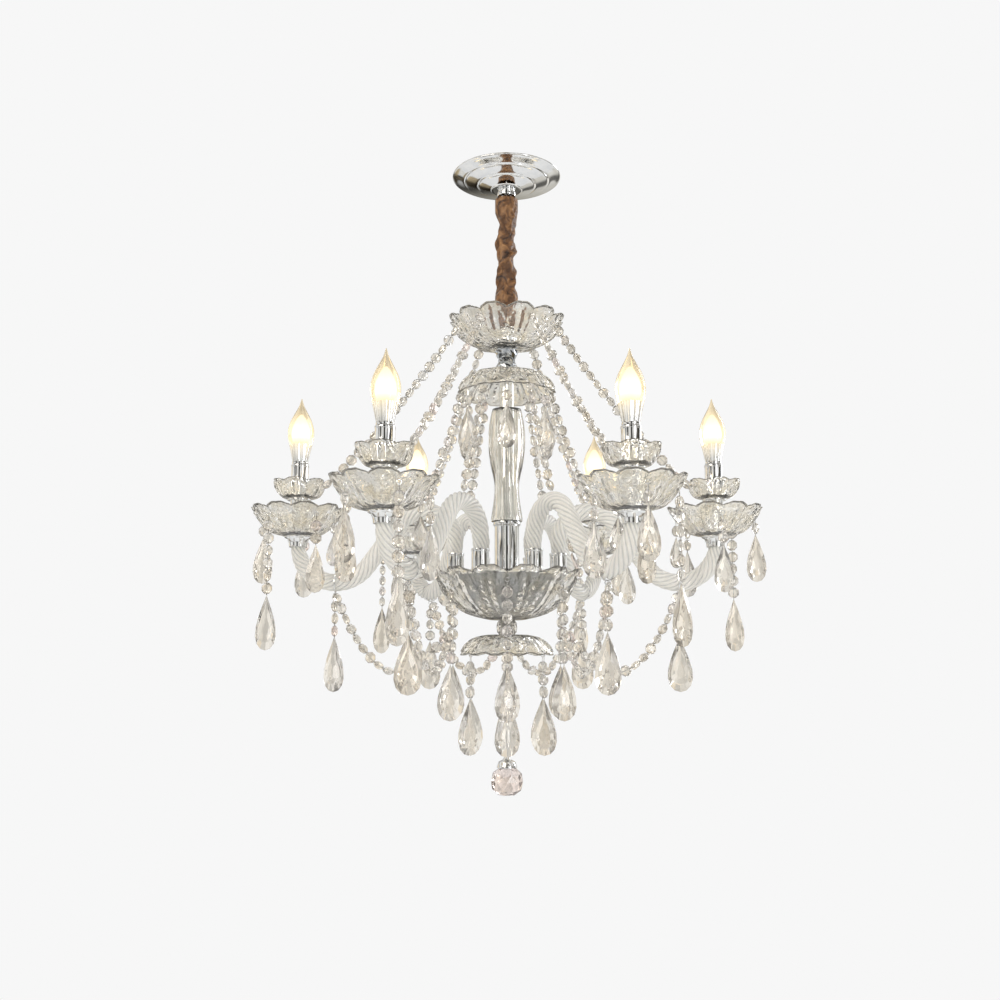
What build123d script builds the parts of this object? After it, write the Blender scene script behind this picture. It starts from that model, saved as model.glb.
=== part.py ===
from build123d import *
import math
import os

os.makedirs("parts", exist_ok=True)

# Six-arm crystal chandelier on a sleeved chain.  Millimetres, Z up.
# The ceiling is the plane z = 0 and the hanging axis is the Z axis.

# ---- ceiling fixing ----------------------------------------------------
FIXING_SPACING = 84.0      # between the two ceiling screws
FIXING_HOLE_R = 2.6
BRACKET_LENGTH = 108.0
BRACKET_WIDTH = 18.0
BRACKET_THICKNESS = 2.0
BRACKET_OFFSET = 9.0       # how far the middle of the bar stands below the ceiling
BRACKET_MIDDLE = 44.0      # length of the offset middle
CANOPY_R = 72.0
CANOPY_WALL = 1.2
CANOPY_DEPTH = 20.0
TIER_R = (56.0, 38.0, 20.0)    # radii of the three raised tiers
NECK_R = 12.5
NECK_HEIGHT = 9.0
NIPPLE_R = 5.0             # threaded tube, 10 mm
NIPPLE_BORE_R = 3.5
NUT_FLATS = 14.0
NUT_HEIGHT = 4.0
BLOCK_SIZE = (26.0, 14.0, 11.0)

# ---- chain and its fabric sleeve ----------------------------------------
LINK_COUNT = 7
LINK_WIRE_R = 1.5
LINK_BEND_R = 7.0          # centre line of the link's round ends
LINK_STRAIGHT = 13.0
LOOP_R = 5.5               # centre line of the loops that carry the chain
LOOP_WIRE_R = 1.75
LOOP_DROP = 4.2            # loop centre below the neck that holds it
BEND_STEPS = 6             # flats round the end of a link
WIRE_SIDES = 6
SLEEVE_BORE_R = 10.0
SLEEVE_MOUTH_R = 12.8
SLEEVE_MOUTH_DEPTH = 18.0
SLEEVE_TOP_GAP = 4.5       # room for the chain to swing under the canopy
SLEEVE_END_R = 15.6
SLEEVE_WAIST_R = 13.2
SLEEVE_FOLD = 1.3          # depth of the gathered folds
SLEEVE_FOLDS = 5
SLEEVE_TURNS = 1.25        # how far the folds wind round the chain

# ---- stack on the centre rod, from the top down --------------------------
COLLAR_R = 14.0
COLLAR_HEIGHT = 25.0
ROD_R = 5.0
ROD_BORE_R = 3.5
BOWL_PETALS = 12
TOP_BOWL_RIM_R = 76.0
TOP_BOWL_HEIGHT = 42.0
TOP_BOWL_BASE_R = 17.0
KNOB_HEIGHT = 31.0
KNOB_END_R = 15.5
KNOB_WAIST_R = 11.0
UPPER_DISH_RIM_R = 65.0
UPPER_DISH_TOP_R = 30.0
UPPER_DISH_HEIGHT = 30.0
LINER_R = 9.5
LINER_BORE_R = 8.3
LINER_SHOWS = 46.0         # bare chrome between the upper dish and the glass
GLASS_COLUMN_HEIGHT = 146.0
GLASS_COLUMN_TOP_R = 19.0
GLASS_COLUMN_BULGE_R = 24.0
GLASS_COLUMN_WAIST_R = 15.5
GLASS_COLUMN_FOOT_R = 20.5
LOWER_COLUMN_R = 15.5
LOWER_COLUMN_HEIGHT = 67.0
LOWER_COLUMN_RIM_R = 17.5
HUB_GAP = 1.7              # hub plate's edge to the main bowl's inside at its notches
HUB_PLATE_THICKNESS = 4.0
HUB_WALL = 1.5
HUB_FOOT_R = 20.0
MAIN_BOWL_RIM_R = 93.0
MAIN_BOWL_HEIGHT = 63.0
MAIN_BOWL_BASE_R = 22.0
MAIN_BOWL_ABOVE_HUB = 5.0  # bowl rim above the top of the hub plate
NECK_BALL_R = 13.5
NECK_BALL_HEIGHT = 19.0
LOWER_DISH_RIM_R = 60.0
LOWER_DISH_TOP_R = 27.0
LOWER_DISH_HEIGHT = 25.0
FINIAL_R = 3.5
FINIAL_NUT_R = 9.0
FINIAL_NUT_HEIGHT = 8.0
FINIAL_LENGTH = 159.0
FINIAL_CAP_R = 12.5
FINIAL_CAP_HEIGHT = 8.0
BALL_R = 20.5
BALL_SIDES = 10
GLASS_WALL = 3.0
BOWL_BASE = 4.0            # thickness of a bowl where it is clamped
BOWL_BELLY = (0.69, 0.43)  # where a bowl's side bends: share of its flare and of its height
PAN_BELLY = (0.56, 0.38)
PETAL_PULL = 0.1           # a notch lies this share of the rim radius inside the petal tips
PETAL_DIP = 0.13           # and this share of the height below them
PETAL_FLUTE = 0.05         # depth of the flutes down the side

# ---- arms ---------------------------------------------------------------
ARMS = 6
ARM_REACH = 266.0          # hanging axis to the candle axis
ARM_FOOT_INSET = 13.5      # arm's foot inside the edge of the hub plate
ARM_R = 11.0
ARM_END_R = 9.0
ARM_GROOVE = 1.7
ARM_LOBES = 4
ARM_TWIST = 3.4            # turns of the rope from end to end
ARM_STATIONS = 22
ARM_HUMP_SHARE = 0.1995    # radius of the hump, as a share of the way from foot to candle
ARM_HUMP_RISE = 40.0       # straight rise from the hub plate to the hump's centre
ARM_BOW_SHARE = 0.2444     # and of the bow
ARM_BOW_DROP = 2.0         # bow's centre below the hump's centre
ARM_TIP_RISE = 10.0
FERRULE_HEIGHT = 26.0
FERRULE_WALL = 1.5
FERRULE_FLOOR = 2.0
FIT = 0.3                  # clearance of glass in its metal seat
SEAT_FIT = 0.6             # the same in a flat-sided bore, to its corners
ARM_CAP_R = 17.5
ARM_CAP_HEIGHT = 14.0
ARM_CAP_FLOOR = 3.0
ARM_SWELL = 20.0           # length over which the rope grows to its full size

# ---- candle fittings -----------------------------------------------------
PAN_PETALS = 10
PAN_RIM_R = 61.0
PAN_HEIGHT = 37.0
PAN_BASE_R = 19.0
CANDLE_CUP_PETALS = 6
CANDLE_CUP_RIM_R = 33.5
CANDLE_CUP_HEIGHT = 24.0
CANDLE_CUP_BASE_R = 17.0
CANDLE_TUBE_R = 11.0
CANDLE_TUBE_WALL = 0.8
CANDLE_TUBE_HEIGHT = 88.0
CANDLE_SEAT_R = 15.0
CANDLE_SEAT_THICKNESS = 2.0
SPIGOT_R = 5.0
SPIGOT_LENGTH = 6.5
HOLDER_LENGTH = 38.0
HOLDER_DEPTH = 26.0        # socket for the lamp cap
HOLDER_BELOW_RIM = 1.0
LAMP_CAP_R = 6.9
LAMP_CAP_LENGTH = 24.0
LAMP_RUNNING_FIT = 0.08
LAMP_SKIRT_R = 9.0
LAMP_R = 17.0
LAMP_LENGTH = 87.0         # from the tube's mouth to the flame tip
LAMP_BELLY_HEIGHT = 36.0
LAMP_TIP_R = 1.2
LAMP_LIFT = 0.5            # lamp skirt above the mouth of the tube

# ---- beads and drops -----------------------------------------------------
BEAD_R = 6.0
BEAD_PITCH = 15.5
BEAD_FLAT = 0.55           # beads and drops are flatter than they are wide
WIRE_R = 0.9               # linking wire where it shows between beads
HANG_GAP = 0.3             # hook to the rim or arm that carries it
BEAD_SIDES = 4
HOOK_LENGTH = 10.0         # bare wire above the first bead
SHORT_DROP = 60.0
SHORT_DROP_R = 13.5
SMALL_DROP = 40.0
SMALL_DROP_R = 11.0
TALL_DROP = 68.0
TALL_DROP_R = 17.0
PAN_HOOK_INSET = 4.9       # hook inside the notches of a pan's rim
TOP_HOOK_INSET = 4.4
MAIN_HOOK_INSET = 3.7
CUP_HOOK_INSET = 2.15
ARM_RING_WIDTH = 1.8       # wire ring round the arm that its drop hangs from
GARLAND_SAG = 72.0
GARLAND_STANDOFF = 4.0     # garland's end outside the bowl string that it is tied to,
GARLAND_BEAD = 3.5         # level with the middle of the fourth bead
GARLAND_SIDE = 3.5         # and to one side of it
GARLAND_HOOK_SIDE = 3.2    # its other end on the wire ring, beside the bow's own drop

SMALL_SIDES = 12           # flat sides of small turned pieces
COLUMN_SIDES = 24          # and of the larger ones


# ---- helpers --------------------------------------------------------------
def turned(*outline):
    """A piece turned about Z from a closed outline of (radius, height) points."""
    face = make_face(Polyline(*[(r, 0, z) for r, z in outline], close=True))
    return revolve(face, Axis.Z)


def flat_sided(outline, sides=SMALL_SIDES):
    """The same with flat sides, for bored pieces that are small, repeated or out of sight."""
    def half(start):
        sections = []
        for i in range(sides // 2 + 1):
            points = [on_circle(r, start + 360.0 * i / sides, z) for r, z in outline]
            sections.append(Wire(Polyline(*points, close=True).edges()))
        return Solid.make_loft(sections, ruled=True)

    return half(0) + half(180)


def tube(outer_r, bore_r, bottom, top, sides=SMALL_SIDES):
    return flat_sided([(bore_r, bottom), (outer_r, bottom), (outer_r, top), (bore_r, top)], sides)


def polygon_ring(centre, across, along, radius, sides, flat=1.0):
    """Corners of a regular outline about a centre, in the plane of two unit vectors."""
    corners = []
    for k in range(sides):
        a = 2 * math.pi * k / sides
        corners.append(centre + across * (radius * math.cos(a)) + along * (flat * radius * math.sin(a)))
    return corners


def cut_solid(rings):
    """Solid with flat facets between outlines that lie parallel to each other."""
    faces = [Face(Wire.make_polygon(rings[0])), Face(Wire.make_polygon(rings[-1]))]
    for near, far in zip(rings, rings[1:]):
        for k in range(len(near)):
            faces.append(Face(Wire.make_polygon([near[k - 1], near[k], far[k], far[k - 1]])))
    return Solid(Shell(faces))


def faceted(sections, sides, flat=1.0):
    """A cut crystal or turned piece: flat facets between outlines at (height, radius)."""
    across, along = Vector(1, 0, 0), Vector(0, 1, 0)
    return cut_solid([polygon_ring(Vector(0, 0, h), across, along, r, sides, flat) for h, r in sections])


def around(shape, angle, radius=0.0, height=0.0):
    """Move a piece out along X, then turn it about the hanging axis."""
    return Rot(0, 0, angle) * Pos(radius, 0, height) * shape


def round_hole(radius, bottom, top):
    """Cutter for a bore about Z that a small turned piece passes through."""
    return Pos(0, 0, bottom) * extrude(RegularPolygon(radius, SMALL_SIDES), top - bottom)


def arm_angle(n):
    return 360.0 / ARMS * n


def between_arms(n):
    return 360.0 / ARMS * (n + 0.5)


def on_circle(radius, angle, height):
    a = math.radians(angle)
    return Vector(radius * math.cos(a), radius * math.sin(a), height)


def beside(radius, angle, offset, height):
    """A point on a circle, moved sideways from an angle."""
    return on_circle(radius, angle + math.degrees(offset / radius), height)


def petal_line(rim_r, height, base_r, belly, w):
    """Outside of a pressed bowl from belly to rim, at a notch (w = 0) or a tip (w = 1)."""
    out, up = belly
    belly_r = base_r + out * (rim_r - base_r) - PETAL_FLUTE * rim_r * (1 - w)
    return (belly_r, up * height), (rim_r * (1 - PETAL_PULL * (1 - w)), height * (1 - PETAL_DIP * (1 - w)))


def notch_height(rim_r, height, base_r, radius, belly=BOWL_BELLY):
    """Height of a bowl's outside in a notch, at a radius between its belly and its rim."""
    (r0, h0), (r1, h1) = petal_line(rim_r, height, base_r, belly, 0)
    return h0 + (radius - r0) / (r1 - r0) * (h1 - h0)


def petal_bowl(rim_r, height, base_r, bore_r, petals, steps, opens=1, wall=GLASS_WALL, belly=BOWL_BELLY):
    """A pressed glass bowl whose rim and side swell into petals, with a notch on the X axis.

    The outside of its base is at z = 0; opens is 1 upwards and -1 downwards.
    """
    def section(angle, w):
        (mid, mid_h), (rim, top) = petal_line(rim_r, height, base_r, belly, w)
        outline = [(bore_r, 0), (base_r, 0), (mid, mid_h), (rim, top),
                   (rim - wall, top), (mid - wall, mid_h + 0.6 * wall),
                   (base_r - 0.6 * wall, BOWL_BASE), (bore_r, BOWL_BASE)]
        points = [on_circle(r, angle, opens * h) for r, h in outline]
        return Wire(Polyline(*points, close=True).edges())

    def half(start):
        spans = petals * steps // 2
        sections = []
        for i in range(spans + 1):
            w = math.sin(math.pi * (i % steps) / steps) ** 0.8
            sections.append(section(start + 180.0 * i / spans, w))
        return Solid.make_loft(sections, ruled=True)

    return half(0) + half(180)


def string_of_beads(beads, drop_length, drop_r):
    """A wire hook, beads and a pear drop below them, hung from z = 0."""
    sections = [(0, WIRE_R), (-HOOK_LENGTH, WIRE_R)]
    for i in range(beads):
        sections.append((-HOOK_LENGTH - BEAD_PITCH * (i + 0.5), BEAD_R))
        sections.append((-HOOK_LENGTH - BEAD_PITCH * (i + 1), WIRE_R))
    top = -HOOK_LENGTH - BEAD_PITCH * beads
    sections += [(top - 0.32 * drop_length, 0.46 * drop_r), (top - 0.66 * drop_length, drop_r),
                 (top - 0.88 * drop_length, 0.8 * drop_r), (top - drop_length, 0.3 * drop_r)]
    return Rot(0, 0, 90) * faceted(sections, BEAD_SIDES, BEAD_FLAT)


def strand(start, end, sag):
    """A string of beads between two points, hanging in a shallow curve."""
    reach = end - start
    length = reach.length + 8 * sag ** 2 / (3 * reach.length)
    beads = max(2, round(length / BEAD_PITCH))
    side = Vector(-reach.Y, reach.X, 0).normalized()
    up = side.cross(reach.normalized())
    rings = []
    for i in range(2 * beads + 1):
        t = i / (2 * beads)
        centre = start + reach * t - Vector(0, 0, 4 * sag * t * (1 - t))
        rings.append(polygon_ring(centre, side, up, BEAD_R if i % 2 else WIRE_R, BEAD_SIDES))
    return cut_solid(rings)


# ---- sizes that follow from others -----------------------------------------
def notch_r(rim_r):
    return rim_r * (1 - PETAL_PULL)


PAN_HANG_R = notch_r(PAN_RIM_R) - PAN_HOOK_INSET
TOP_HANG_R = notch_r(TOP_BOWL_RIM_R) - TOP_HOOK_INSET
MAIN_HANG_R = notch_r(MAIN_BOWL_RIM_R) - MAIN_HOOK_INSET
CUP_HANG_R = notch_r(CANDLE_CUP_RIM_R) - CUP_HOOK_INSET
HUB_PLATE_R = notch_r(MAIN_BOWL_RIM_R) - GLASS_WALL - HUB_GAP
ARM_ROOT_R = HUB_PLATE_R - ARM_FOOT_INSET
ARM_HUMP_R = ARM_HUMP_SHARE * (ARM_REACH - ARM_ROOT_R)
ARM_BOW_R = ARM_BOW_SHARE * (ARM_REACH - ARM_ROOT_R)
CANDLE_SEAT_HEIGHT = CANDLE_TUBE_HEIGHT / 2    # pan floor to the ring that carries the small cup

# ---- heights, worked out down the stack ------------------------------------
NECK_BOTTOM = -CANOPY_DEPTH - NECK_HEIGHT
TOP_LOOP_Z = NECK_BOTTOM - LOOP_DROP
LINK_LENGTH = 2 * LINK_BEND_R + LINK_STRAIGHT
LINK_GAP = 0.3
HOOK_STEP = LOOP_WIRE_R + LINK_WIRE_R + LINK_GAP
LINK_STEP = LINK_LENGTH - 2 * LINK_WIRE_R - LINK_GAP
FIRST_LINK_TOP = TOP_LOOP_Z - LOOP_R + HOOK_STEP
LAST_LINK_BOTTOM = FIRST_LINK_TOP - LINK_STEP * (LINK_COUNT - 1) - LINK_LENGTH
FRAME_LOOP_Z = LAST_LINK_BOTTOM + HOOK_STEP - LOOP_R
COLLAR_TOP = FRAME_LOOP_Z - LOOP_DROP
TOP_BOWL_Z = COLLAR_TOP - COLLAR_HEIGHT - BOWL_BASE
KNOB_BOTTOM = TOP_BOWL_Z - KNOB_HEIGHT
LINER_TOP = KNOB_BOTTOM - BOWL_BASE
GLASS_COLUMN_TOP = LINER_TOP - LINER_SHOWS
GLASS_COLUMN_FOOT = GLASS_COLUMN_TOP - GLASS_COLUMN_HEIGHT
HUB_TOP = GLASS_COLUMN_FOOT - LOWER_COLUMN_HEIGHT
HUB_BOTTOM = HUB_TOP - HUB_PLATE_THICKNESS
MAIN_RIM_Z = HUB_TOP + MAIN_BOWL_ABOVE_HUB
MAIN_BOWL_Z = MAIN_RIM_Z - MAIN_BOWL_HEIGHT
BALL_NECK_BOTTOM = MAIN_BOWL_Z - NECK_BALL_HEIGHT
FINIAL_TOP = BALL_NECK_BOTTOM - BOWL_BASE
FINIAL_BOTTOM = FINIAL_TOP - FINIAL_LENGTH
HUMP_Z = HUB_TOP + ARM_HUMP_RISE
BOW_Z = HUMP_Z - ARM_BOW_DROP
ARM_TIP_Z = BOW_Z + ARM_TIP_RISE
BOW_X = ARM_REACH - ARM_BOW_R
HUMP_X = ARM_ROOT_R + ARM_HUMP_R
PAN_Z = ARM_TIP_Z
PAN_FLOOR = PAN_Z + BOWL_BASE
SMALL_CUP_Z = PAN_FLOOR + CANDLE_SEAT_HEIGHT
TUBE_TOP = PAN_FLOOR + CANDLE_TUBE_HEIGHT
HOLDER_R = CANDLE_TUBE_R - CANDLE_TUBE_WALL - FIT
HOLDER_TOP = TUBE_TOP - HOLDER_BELOW_RIM


# ---- ceiling pieces ---------------------------------------------------------
def ceiling_bracket():
    half, step = BRACKET_LENGTH / 2, BRACKET_MIDDLE / 2
    low, t = -BRACKET_OFFSET, BRACKET_THICKNESS
    slope = BRACKET_OFFSET
    outline = [(-half, 0), (-step - slope, 0), (-step, low), (step, low), (step + slope, 0), (half, 0),
               (half, -t), (step + slope + t, -t), (step + t, low - t), (-step - t, low - t),
               (-step - slope - t, -t), (-half, -t)]
    side = make_face(Polyline(*[(x, 0, z) for x, z in outline], close=True))
    bar = extrude(side, BRACKET_WIDTH / 2, both=True)
    for x in (-FIXING_SPACING / 2, FIXING_SPACING / 2):
        bar -= Pos(x, 0, 0) * Cylinder(FIXING_HOLE_R, 4 * t)
    return bar - round_hole(NIPPLE_R + FIT, low - 2 * t, low + 2 * t)


def canopy():
    """Spun cover with three raised tiers, open to the ceiling."""
    w, depth = CANOPY_WALL, CANOPY_DEPTH
    outer = [(CANOPY_R, 0), (CANOPY_R, -2.2), (TIER_R[0] + 5, -0.34 * depth), (TIER_R[0], -0.34 * depth)]
    outer += [(TIER_R[0] - 2, -0.46 * depth), (TIER_R[1], -0.64 * depth)]
    outer += [(TIER_R[1] - 2, -0.76 * depth), (TIER_R[2], -depth)]
    inner = [(CANOPY_R - w, 0), (CANOPY_R - 2 * w, -2.2), (TIER_R[0], -0.34 * depth + w),
             (TIER_R[1], -0.64 * depth + w), (TIER_R[2] - w, -depth + w)]
    bore = NIPPLE_R + FIT
    return turned(*outer, (bore, -depth), (bore, -depth + w), *reversed(inner))


def canopy_nipple():
    return tube(NIPPLE_R, NIPPLE_BORE_R, NECK_BOTTOM + 3, -1)


def nipple_nuts():
    """Two lock nuts clamp the nipple to the bracket."""
    blank = extrude(RegularPolygon(NUT_FLATS / 2, 6, major_radius=False), NUT_HEIGHT)
    nut = blank - round_hole(NIPPLE_R + FIT, -1, NUT_HEIGHT + 1)
    above = Pos(0, 0, -BRACKET_OFFSET) * nut
    below = Pos(0, 0, -BRACKET_OFFSET - BRACKET_THICKNESS - NUT_HEIGHT) * nut
    return Compound(children=[above, below])


def wire_oval(straight, bend_r, wire_r):
    """Closed wire loop in the XZ plane: two round ends with a straight between them."""
    def end(side):
        rings = []
        for i in range(BEND_STEPS + 1):
            a = math.pi * i / BEND_STEPS
            out = Vector(side * math.cos(a), 0, side * math.sin(a))
            centre = out * bend_r + Vector(0, 0, side * straight / 2)
            corners = polygon_ring(centre, out, Vector(0, 1, 0), wire_r, WIRE_SIDES)
            rings.append(Wire(Polyline(*corners, close=True).edges()))
        return rings

    upper, lower = end(1), end(-1)
    first = Solid.make_loft(upper + lower[:1] if straight else upper, ruled=True)
    return first + Solid.make_loft(lower + upper[:1] if straight else lower, ruled=True)


def loop_ring(centre_z, turn):
    return Pos(0, 0, centre_z) * Rot(0, 0, turn) * wire_oval(0, LOOP_R, LOOP_WIRE_R)


def canopy_loop():
    """Neck that screws on the nipple, holds the canopy up and carries the chain."""
    top, bottom = -CANOPY_DEPTH, NECK_BOTTOM
    neck = faceted([(top, NECK_R - 1.5), (top - 2, NECK_R - 1), (bottom + 2, NECK_R), (bottom, NECK_R - 1.5)],
                   COLUMN_SIDES)
    neck -= round_hole(NIPPLE_R + FIT, bottom + 3, top + 1)
    return neck + loop_ring(TOP_LOOP_Z, 0)


def terminal_block():
    """Wiring block fixed to the edge of the bracket's offset middle."""
    length, width, height = BLOCK_SIZE
    block = Pos(0, 0, height / 2) * Box(length, width, height)
    for x in (-length / 3, 0, length / 3):
        block -= Pos(x, 0, height / 2) * Box(4.4, 2 * width, 4.4)
    return Pos(0, (BRACKET_WIDTH + width) / 2 + LINK_GAP, -BRACKET_OFFSET - BRACKET_THICKNESS) * block


# ---- chain ------------------------------------------------------------------
def chain_link(number):
    """One oval link; every second one is turned a quarter about Z."""
    top = FIRST_LINK_TOP - LINK_STEP * number
    quarter = 90 if number % 2 == 0 else 0
    link = wire_oval(LINK_STRAIGHT, LINK_BEND_R, LINK_WIRE_R)
    return Pos(0, 0, top - LINK_LENGTH / 2) * Rot(0, 0, quarter) * link


def chain_sleeve():
    """Gathered fabric tube; its folds wind round the chain."""
    top, bottom = NECK_BOTTOM - SLEEVE_TOP_GAP, COLLAR_TOP + LINK_GAP
    stations = 16
    rings = []
    for i in range(stations + 1):
        t = i / stations
        gather = math.sin(math.pi * t) ** 0.6
        mean = SLEEVE_END_R + (SLEEVE_WAIST_R - SLEEVE_END_R) * gather
        points = []
        for k in range(2 * SLEEVE_FOLDS):
            a = math.pi * k / SLEEVE_FOLDS + 2 * math.pi * SLEEVE_TURNS * t
            fold = SLEEVE_FOLD * gather * (1 if k % 2 else -1)
            sway = 0.7 * gather * math.sin(9 * t)
            radius = mean + fold
            points.append((radius * math.cos(a) + sway, radius * math.sin(a), top + (bottom - top) * t))
        rings.append(Wire(Polyline(*points, close=True).edges()))
    cloth = Solid.make_loft(rings, ruled=True)
    length = top - bottom
    cloth -= Pos(0, 0, (top + bottom) / 2) * Cylinder(SLEEVE_BORE_R, 2 * length)
    return cloth - Pos(0, 0, top) * Cylinder(SLEEVE_MOUTH_R, 2 * SLEEVE_MOUTH_DEPTH)


# ---- centre stack -------------------------------------------------------------
def frame_loop():
    """Loop and collar that the whole frame hangs from."""
    bottom = COLLAR_TOP - COLLAR_HEIGHT
    waist = COLLAR_R - 4
    collar = faceted([(COLLAR_TOP, COLLAR_R), (COLLAR_TOP - 3, COLLAR_R), (COLLAR_TOP - 7, waist),
                      (bottom + 5, waist), (bottom, COLLAR_R)], COLUMN_SIDES)
    collar -= round_hole(ROD_R + FIT, bottom, bottom + COLLAR_HEIGHT / 2)
    turn = 90 if LINK_COUNT % 2 == 0 else 0
    return collar + loop_ring(FRAME_LOOP_Z, turn)


def centre_rod():
    top = COLLAR_TOP - COLLAR_HEIGHT / 2 - FIT
    return tube(ROD_R, ROD_BORE_R, FINIAL_TOP - FINIAL_NUT_HEIGHT / 2 + FIT, top)


def top_bowl():
    bowl = petal_bowl(TOP_BOWL_RIM_R, TOP_BOWL_HEIGHT, TOP_BOWL_BASE_R, ROD_R + FIT, BOWL_PETALS, 3)
    return Pos(0, 0, TOP_BOWL_Z) * bowl


def neck_knob():
    """Hourglass of cut crystal under the top bowl."""
    h, end, waist = KNOB_HEIGHT, KNOB_END_R, KNOB_WAIST_R
    knob = faceted([(0, end - 2), (-3, end), (-0.45 * h, waist), (-0.55 * h, waist), (3 - h, end),
                    (-h, end - 2)], SMALL_SIDES)
    return Pos(0, 0, TOP_BOWL_Z) * (knob - round_hole(ROD_R + FIT, -h, 0))


def upper_dish():
    dish = petal_bowl(UPPER_DISH_RIM_R, UPPER_DISH_HEIGHT, UPPER_DISH_TOP_R, ROD_R + FIT, BOWL_PETALS, 2, -1)
    return Pos(0, 0, KNOB_BOTTOM) * dish


def column_liner():
    return tube(LINER_R, LINER_BORE_R, GLASS_COLUMN_FOOT, LINER_TOP)


def glass_column():
    """Baluster of clear glass over the chrome liner."""
    top, foot, bore = GLASS_COLUMN_TOP, GLASS_COLUMN_FOOT, LINER_R + FIT
    bulge, waist, h = GLASS_COLUMN_BULGE_R, GLASS_COLUMN_WAIST_R, GLASS_COLUMN_HEIGHT
    shoulder = (bulge + waist) / 2
    outline = [(bore, top), (GLASS_COLUMN_TOP_R, top), (bulge - 1, top - 0.17 * h), (bulge, top - 0.32 * h),
               (shoulder, top - 0.53 * h), (waist, top - 0.7 * h), (waist + 1.5, top - 0.82 * h),
               (GLASS_COLUMN_FOOT_R, foot), (bore, foot)]
    return flat_sided(outline, COLUMN_SIDES)


def lower_column():
    top, bottom, rim, r = GLASS_COLUMN_FOOT, HUB_TOP, LOWER_COLUMN_RIM_R, LOWER_COLUMN_R
    bore = ROD_R + FIT
    outline = [(bore, top), (rim, top), (rim, top - 5), (r, top - 6.5), (r, bottom + 5), (rim, bottom),
               (bore, bottom)]
    return flat_sided(outline, COLUMN_SIDES)


def hub_plate():
    plate = tube(HUB_PLATE_R, ROD_R + FIT, HUB_BOTTOM, HUB_TOP, 2 * COLUMN_SIDES)
    for n in range(ARMS):
        plate -= around(round_hole(SPIGOT_R, HUB_BOTTOM - 1, HUB_TOP + 1), arm_angle(n), ARM_ROOT_R)
    return plate


def hub_bowl():
    """Chrome pan under the plate, nested inside the glass bowl."""
    top, bottom, w, bore = HUB_BOTTOM, MAIN_BOWL_Z + BOWL_BASE, HUB_WALL, ROD_R + FIT
    rim, foot, depth = HUB_PLATE_R - 1, HUB_FOOT_R - 4, HUB_BOTTOM - bottom
    outer = [(foot, bottom), (0.52 * rim, bottom + 0.25 * depth), (0.78 * rim, bottom + 0.56 * depth),
             (rim, top)]
    inner = [(r - w, min(top, z + w)) for r, z in reversed(outer)]
    return flat_sided([(bore, bottom)] + outer + inner + [(bore, bottom + w)], COLUMN_SIDES)


def main_bowl():
    bowl = petal_bowl(MAIN_BOWL_RIM_R, MAIN_BOWL_HEIGHT, MAIN_BOWL_BASE_R, ROD_R + FIT, BOWL_PETALS, 3)
    return Pos(0, 0, MAIN_BOWL_Z) * bowl


def neck_ball():
    h, r = NECK_BALL_HEIGHT, NECK_BALL_R
    ball = faceted([(0, 0.7 * r), (-0.3 * h, r), (-0.7 * h, r), (-h, 0.7 * r)], 10)
    return Pos(0, 0, MAIN_BOWL_Z) * (ball - round_hole(ROD_R + FIT, -h, 0))


def lower_dish():
    dish = petal_bowl(LOWER_DISH_RIM_R, LOWER_DISH_HEIGHT, LOWER_DISH_TOP_R, ROD_R + FIT, BOWL_PETALS, 2, -1)
    return Pos(0, 0, BALL_NECK_BOTTOM) * dish


def finial_rod():
    """Nut under the lower dish, long rod, and the cap that grips the crystal ball."""
    top, nut, bottom = FINIAL_TOP, FINIAL_NUT_R, FINIAL_BOTTOM
    cap = FINIAL_CAP_R
    rod = faceted([(top, nut), (top - FINIAL_NUT_HEIGHT, nut), (top - FINIAL_NUT_HEIGHT - 4, FINIAL_R),
                   (bottom + FINIAL_CAP_HEIGHT + 4, FINIAL_R), (bottom + FINIAL_CAP_HEIGHT, cap - 3),
                   (bottom, cap)], SMALL_SIDES)
    rod += round_hole(FINIAL_R, bottom - 0.6 * BALL_R, bottom)
    return rod - round_hole(ROD_R + FIT, top - FINIAL_NUT_HEIGHT / 2, top + 1)


def crystal_ball():
    """Cut ball at the bottom of the frame."""
    table = math.asin(FINIAL_CAP_R / BALL_R)
    centre = FINIAL_BOTTOM - BALL_R * math.cos(table)
    angles = [table + (math.pi - 2 * table) * k / 4 for k in range(5)]
    sections = [(BALL_R * math.cos(a), BALL_R * math.sin(a)) for a in angles]
    ball = Pos(0, 0, centre) * faceted(sections, BALL_SIDES)
    return ball - round_hole(FINIAL_R + FIT, FINIAL_BOTTOM - 0.65 * BALL_R, FINIAL_BOTTOM + 1)


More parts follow.
